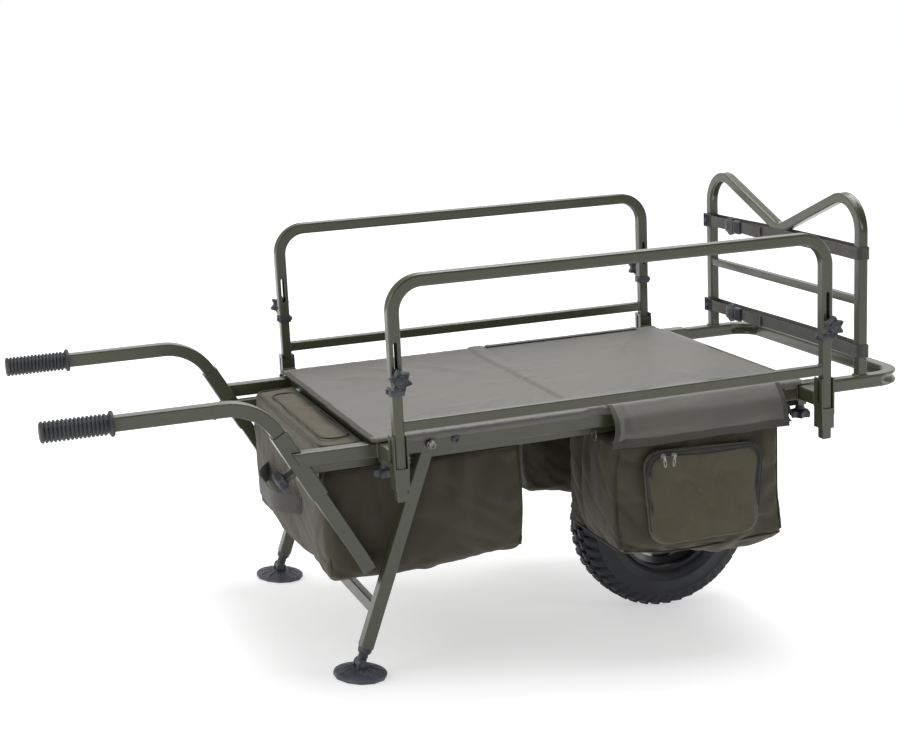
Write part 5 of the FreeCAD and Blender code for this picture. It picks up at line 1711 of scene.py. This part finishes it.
def make_feet():
    """The mud feet, each on an extending stem."""
    for name, side in SIDES:
        ankle, _, _ = foot_frame(side)
        sole = Matrix.Translation(ankle) @ Matrix.Rotation(NOSE_UP, 4, "Y") @ Matrix.Translation((0, 0, -0.024))
        # The dome takes the lighter copy of the knob nylon: painted light from above
        add("foot_dome_" + name, [mapped(part, sole) for part in foot_dome()], "foot", "pad_" + name, "knob_plastic",
            "foot_pad_" + name, sharp=28)
        add("foot_stem_body_" + name, stem_parts(side), "stem", "foot_" + name, "stem_plastic", "foot_stem_" + name)


# ---------------------------------------------------------------- camera, lights and floor

VIEW_PLACE = (-1.1722, -3.092, 1.1224)
VIEW_TURN = tuple(math.radians(a) for a in (79.571, -3.363, -19.916))
VIEW_LENS = 67.17


def area_light(name, at, aim, size, power):
    """A rectangular lamp at a place, pointing at another."""
    lamp = bpy.data.lights.new(name, "AREA")
    lamp.shape = "RECTANGLE"
    lamp.size, lamp.size_y = size
    lamp.energy = power
    made = bpy.data.objects.new(name, lamp)
    bpy.context.scene.collection.objects.link(made)
    made.location = at
    made.rotation_euler = (Vector(aim) - Vector(at)).to_track_quat("-Z", "Y").to_euler()


def studio_floor(look):
    """The floor, far wider than the cart."""
    reach = 40.0
    points = [(-reach, -reach, 0), (reach, -reach, 0), (reach, reach, 0), (-reach, reach, 0)]
    mesh = bpy.data.meshes.new("studio_floor")
    mesh.from_pydata(points, [], [(0, 1, 2, 3)])
    mesh.materials.append(look)
    floor = bpy.data.objects.new("studio_floor", mesh)
    bpy.context.scene.collection.objects.link(floor)


def make_stage(context):
    """A pale floor, soft studio light, a bright backdrop behind the cart and the camera."""
    paper = Finish("studio_paper", (0.9, 0.9, 0.9))
    cloud = paper.noise(3.0, 2.0)
    x, y, _ = paper.axes()
    far = ((x * x + y * y) ** 0.5).ramp(0.9, 2.6)
    paper.shader.inputs["Emission Strength"].default_value = 1.0
    studio_floor(paper.done(colour=paper.blend(cloud, (0.6, 0.6, 0.6), (0.63, 0.63, 0.63)), rough=0.9,
                            glow=paper.blend(far, (0.52, 0.52, 0.52), (0.95, 0.95, 0.95))))
    middle = (0.0, 0.0, 0.4)
    area_light("overhead", (0.5, 0.2, 3.0), middle, (2.4, 1.6), 82.0)
    area_light("front_right", (3.2, -1.5, 1.3), middle, (1.0, 1.6), 22.0)
    area_light("left_fill", (-3.4, -1.2, 1.6), middle, (1.6, 1.6), 44.0)
    world = bpy.data.worlds.new("studio")
    world.use_nodes = True
    context.scene.world = world
    nodes, links = world.node_tree.nodes, world.node_tree.links
    sky = next(n for n in nodes if n.type == "BACKGROUND")
    sky.inputs["Color"].default_value = (1, 1, 1, 1)
    direction = nodes.new("ShaderNodeTexCoord")
    split = nodes.new("ShaderNodeSeparateXYZ")
    spread = nodes.new("ShaderNodeMapRange")
    spread.interpolation_type = "SMOOTHSTEP"
    for index, value in ((1, -0.35), (2, 0.55), (3, 0.08), (4, 1.0)):
        spread.inputs[index].default_value = value
    links.new(direction.outputs["Generated"], split.inputs[0])
    links.new(split.outputs["Y"], spread.inputs[0])
    links.new(spread.outputs[0], sky.inputs["Strength"])
    camera_data = bpy.data.cameras.new("camera")
    camera_data.lens = VIEW_LENS
    camera = bpy.data.objects.new("camera", camera_data)
    context.scene.collection.objects.link(camera)
    camera.location = VIEW_PLACE
    camera.rotation_euler = VIEW_TURN
    context.scene.camera = camera
    context.scene.view_settings.view_transform = "Standard"


# ---------------------------------------------------------------- operators

class CART_OT_finishes(bpy.types.Operator):
    """Make the finishes, and paint the frame's own parts with them"""
    bl_idname = "cart.finishes"
    bl_label = "Finishes"

    def execute(self, context):
        mix_finishes(context.scene.cart_colours)
        return {"FINISHED"}


class CART_OT_stage(bpy.types.Operator):
    """Add the floor, the lights and the camera"""
    bl_idname = "cart.stage"
    bl_label = "Stage"

    def execute(self, context):
        make_stage(context)
        return {"FINISHED"}


class CART_OT_tubes(bpy.types.Operator):
    """Make the hoops, the front loop, the headboard, their welds and the tube plugs"""
    bl_idname = "cart.tubes"
    bl_label = "Bent tubes"

    def execute(self, context):
        sizes = context.scene.cart_sizes
        make_hoops(sizes)
        make_front_loop(sizes)
        make_headboard(sizes)
        make_welds(sizes)
        make_plugs()
        return {"FINISHED"}


class CART_OT_wheel(bpy.types.Operator):
    """Make the tyre with its tread, and the rim"""
    bl_idname = "cart.wheel"
    bl_label = "Wheel"

    def execute(self, context):
        make_tyre(context.scene.cart_sizes)
        make_rim()
        return {"FINISHED"}


class CART_OT_fittings(bpy.types.Operator):
    """Make the knobs, the grips, the collars and the bolts"""
    bl_idname = "cart.fittings"
    bl_label = "Fittings"

    def execute(self, context):
        make_knobs()
        make_grips()
        make_collars()
        make_leg_bolts()
        return {"FINISHED"}


class CART_OT_deck(bpy.types.Operator):
    """Make the deck cloth, its hems and its side flaps"""
    bl_idname = "cart.deck"
    bl_label = "Deck cloth"

    def execute(self, context):
        make_deck_cloth(context.scene.cart_sizes)
        make_flaps()
        return {"FINISHED"}


class CART_OT_bags(bpy.types.Operator):
    """Make the rear bag, its lid and loop, and the two side bags with their pockets"""
    bl_idname = "cart.bags"
    bl_label = "Bags"

    def execute(self, context):
        sizes = context.scene.cart_sizes
        make_rear_bag(sizes)
        make_grab_loop()
        make_panniers(sizes)
        return {"FINISHED"}


class CART_OT_straps(bpy.types.Operator):
    """Make the headboard straps with their buckles, the zip sliders and the flap rings"""
    bl_idname = "cart.straps"
    bl_label = "Straps and fastenings"

    def execute(self, context):
        make_straps()
        make_zip_sliders()
        make_d_rings()
        return {"FINISHED"}


class CART_OT_feet(bpy.types.Operator):
    """Make the mud feet and their extending stems"""
    bl_idname = "cart.feet"
    bl_label = "Feet"

    def execute(self, context):
        make_feet()
        return {"FINISHED"}


class CART_PT_panel(bpy.types.Panel):
    """The game cart's pieces, one button each"""
    bl_idname = "CART_PT_panel"
    bl_label = "Game cart"
    bl_space_type = "VIEW_3D"
    bl_region_type = "UI"
    bl_category = "Game cart"

    def draw(self, context):
        for group in (context.scene.cart_colours, context.scene.cart_sizes):
            box = self.layout.box()
            for name in group.__annotations__:
                box.prop(group, name)
        column = self.layout.column(align=True)
        for operator in OPERATORS:
            column.operator(operator.bl_idname)


OPERATORS = (CART_OT_finishes, CART_OT_tubes, CART_OT_wheel, CART_OT_fittings, CART_OT_deck, CART_OT_bags,
             CART_OT_straps, CART_OT_feet, CART_OT_stage)
CLASSES = (CartColours, CartSizes) + OPERATORS + (CART_PT_panel,)


def register():
    for kind in CLASSES:
        bpy.utils.register_class(kind)
    bpy.types.Scene.cart_colours = PointerProperty(type=CartColours)
    bpy.types.Scene.cart_sizes = PointerProperty(type=CartSizes)


def unregister():
    del bpy.types.Scene.cart_sizes
    del bpy.types.Scene.cart_colours
    for kind in reversed(CLASSES):
        bpy.utils.unregister_class(kind)


def main():
    register()
    bpy.ops.cart.finishes()
    bpy.ops.cart.tubes()
    bpy.ops.cart.wheel()
    bpy.ops.cart.fittings()
    bpy.ops.cart.deck()
    bpy.ops.cart.bags()
    bpy.ops.cart.straps()
    bpy.ops.cart.feet()
    bpy.ops.cart.stage()


if __name__ == "__main__":
    main()
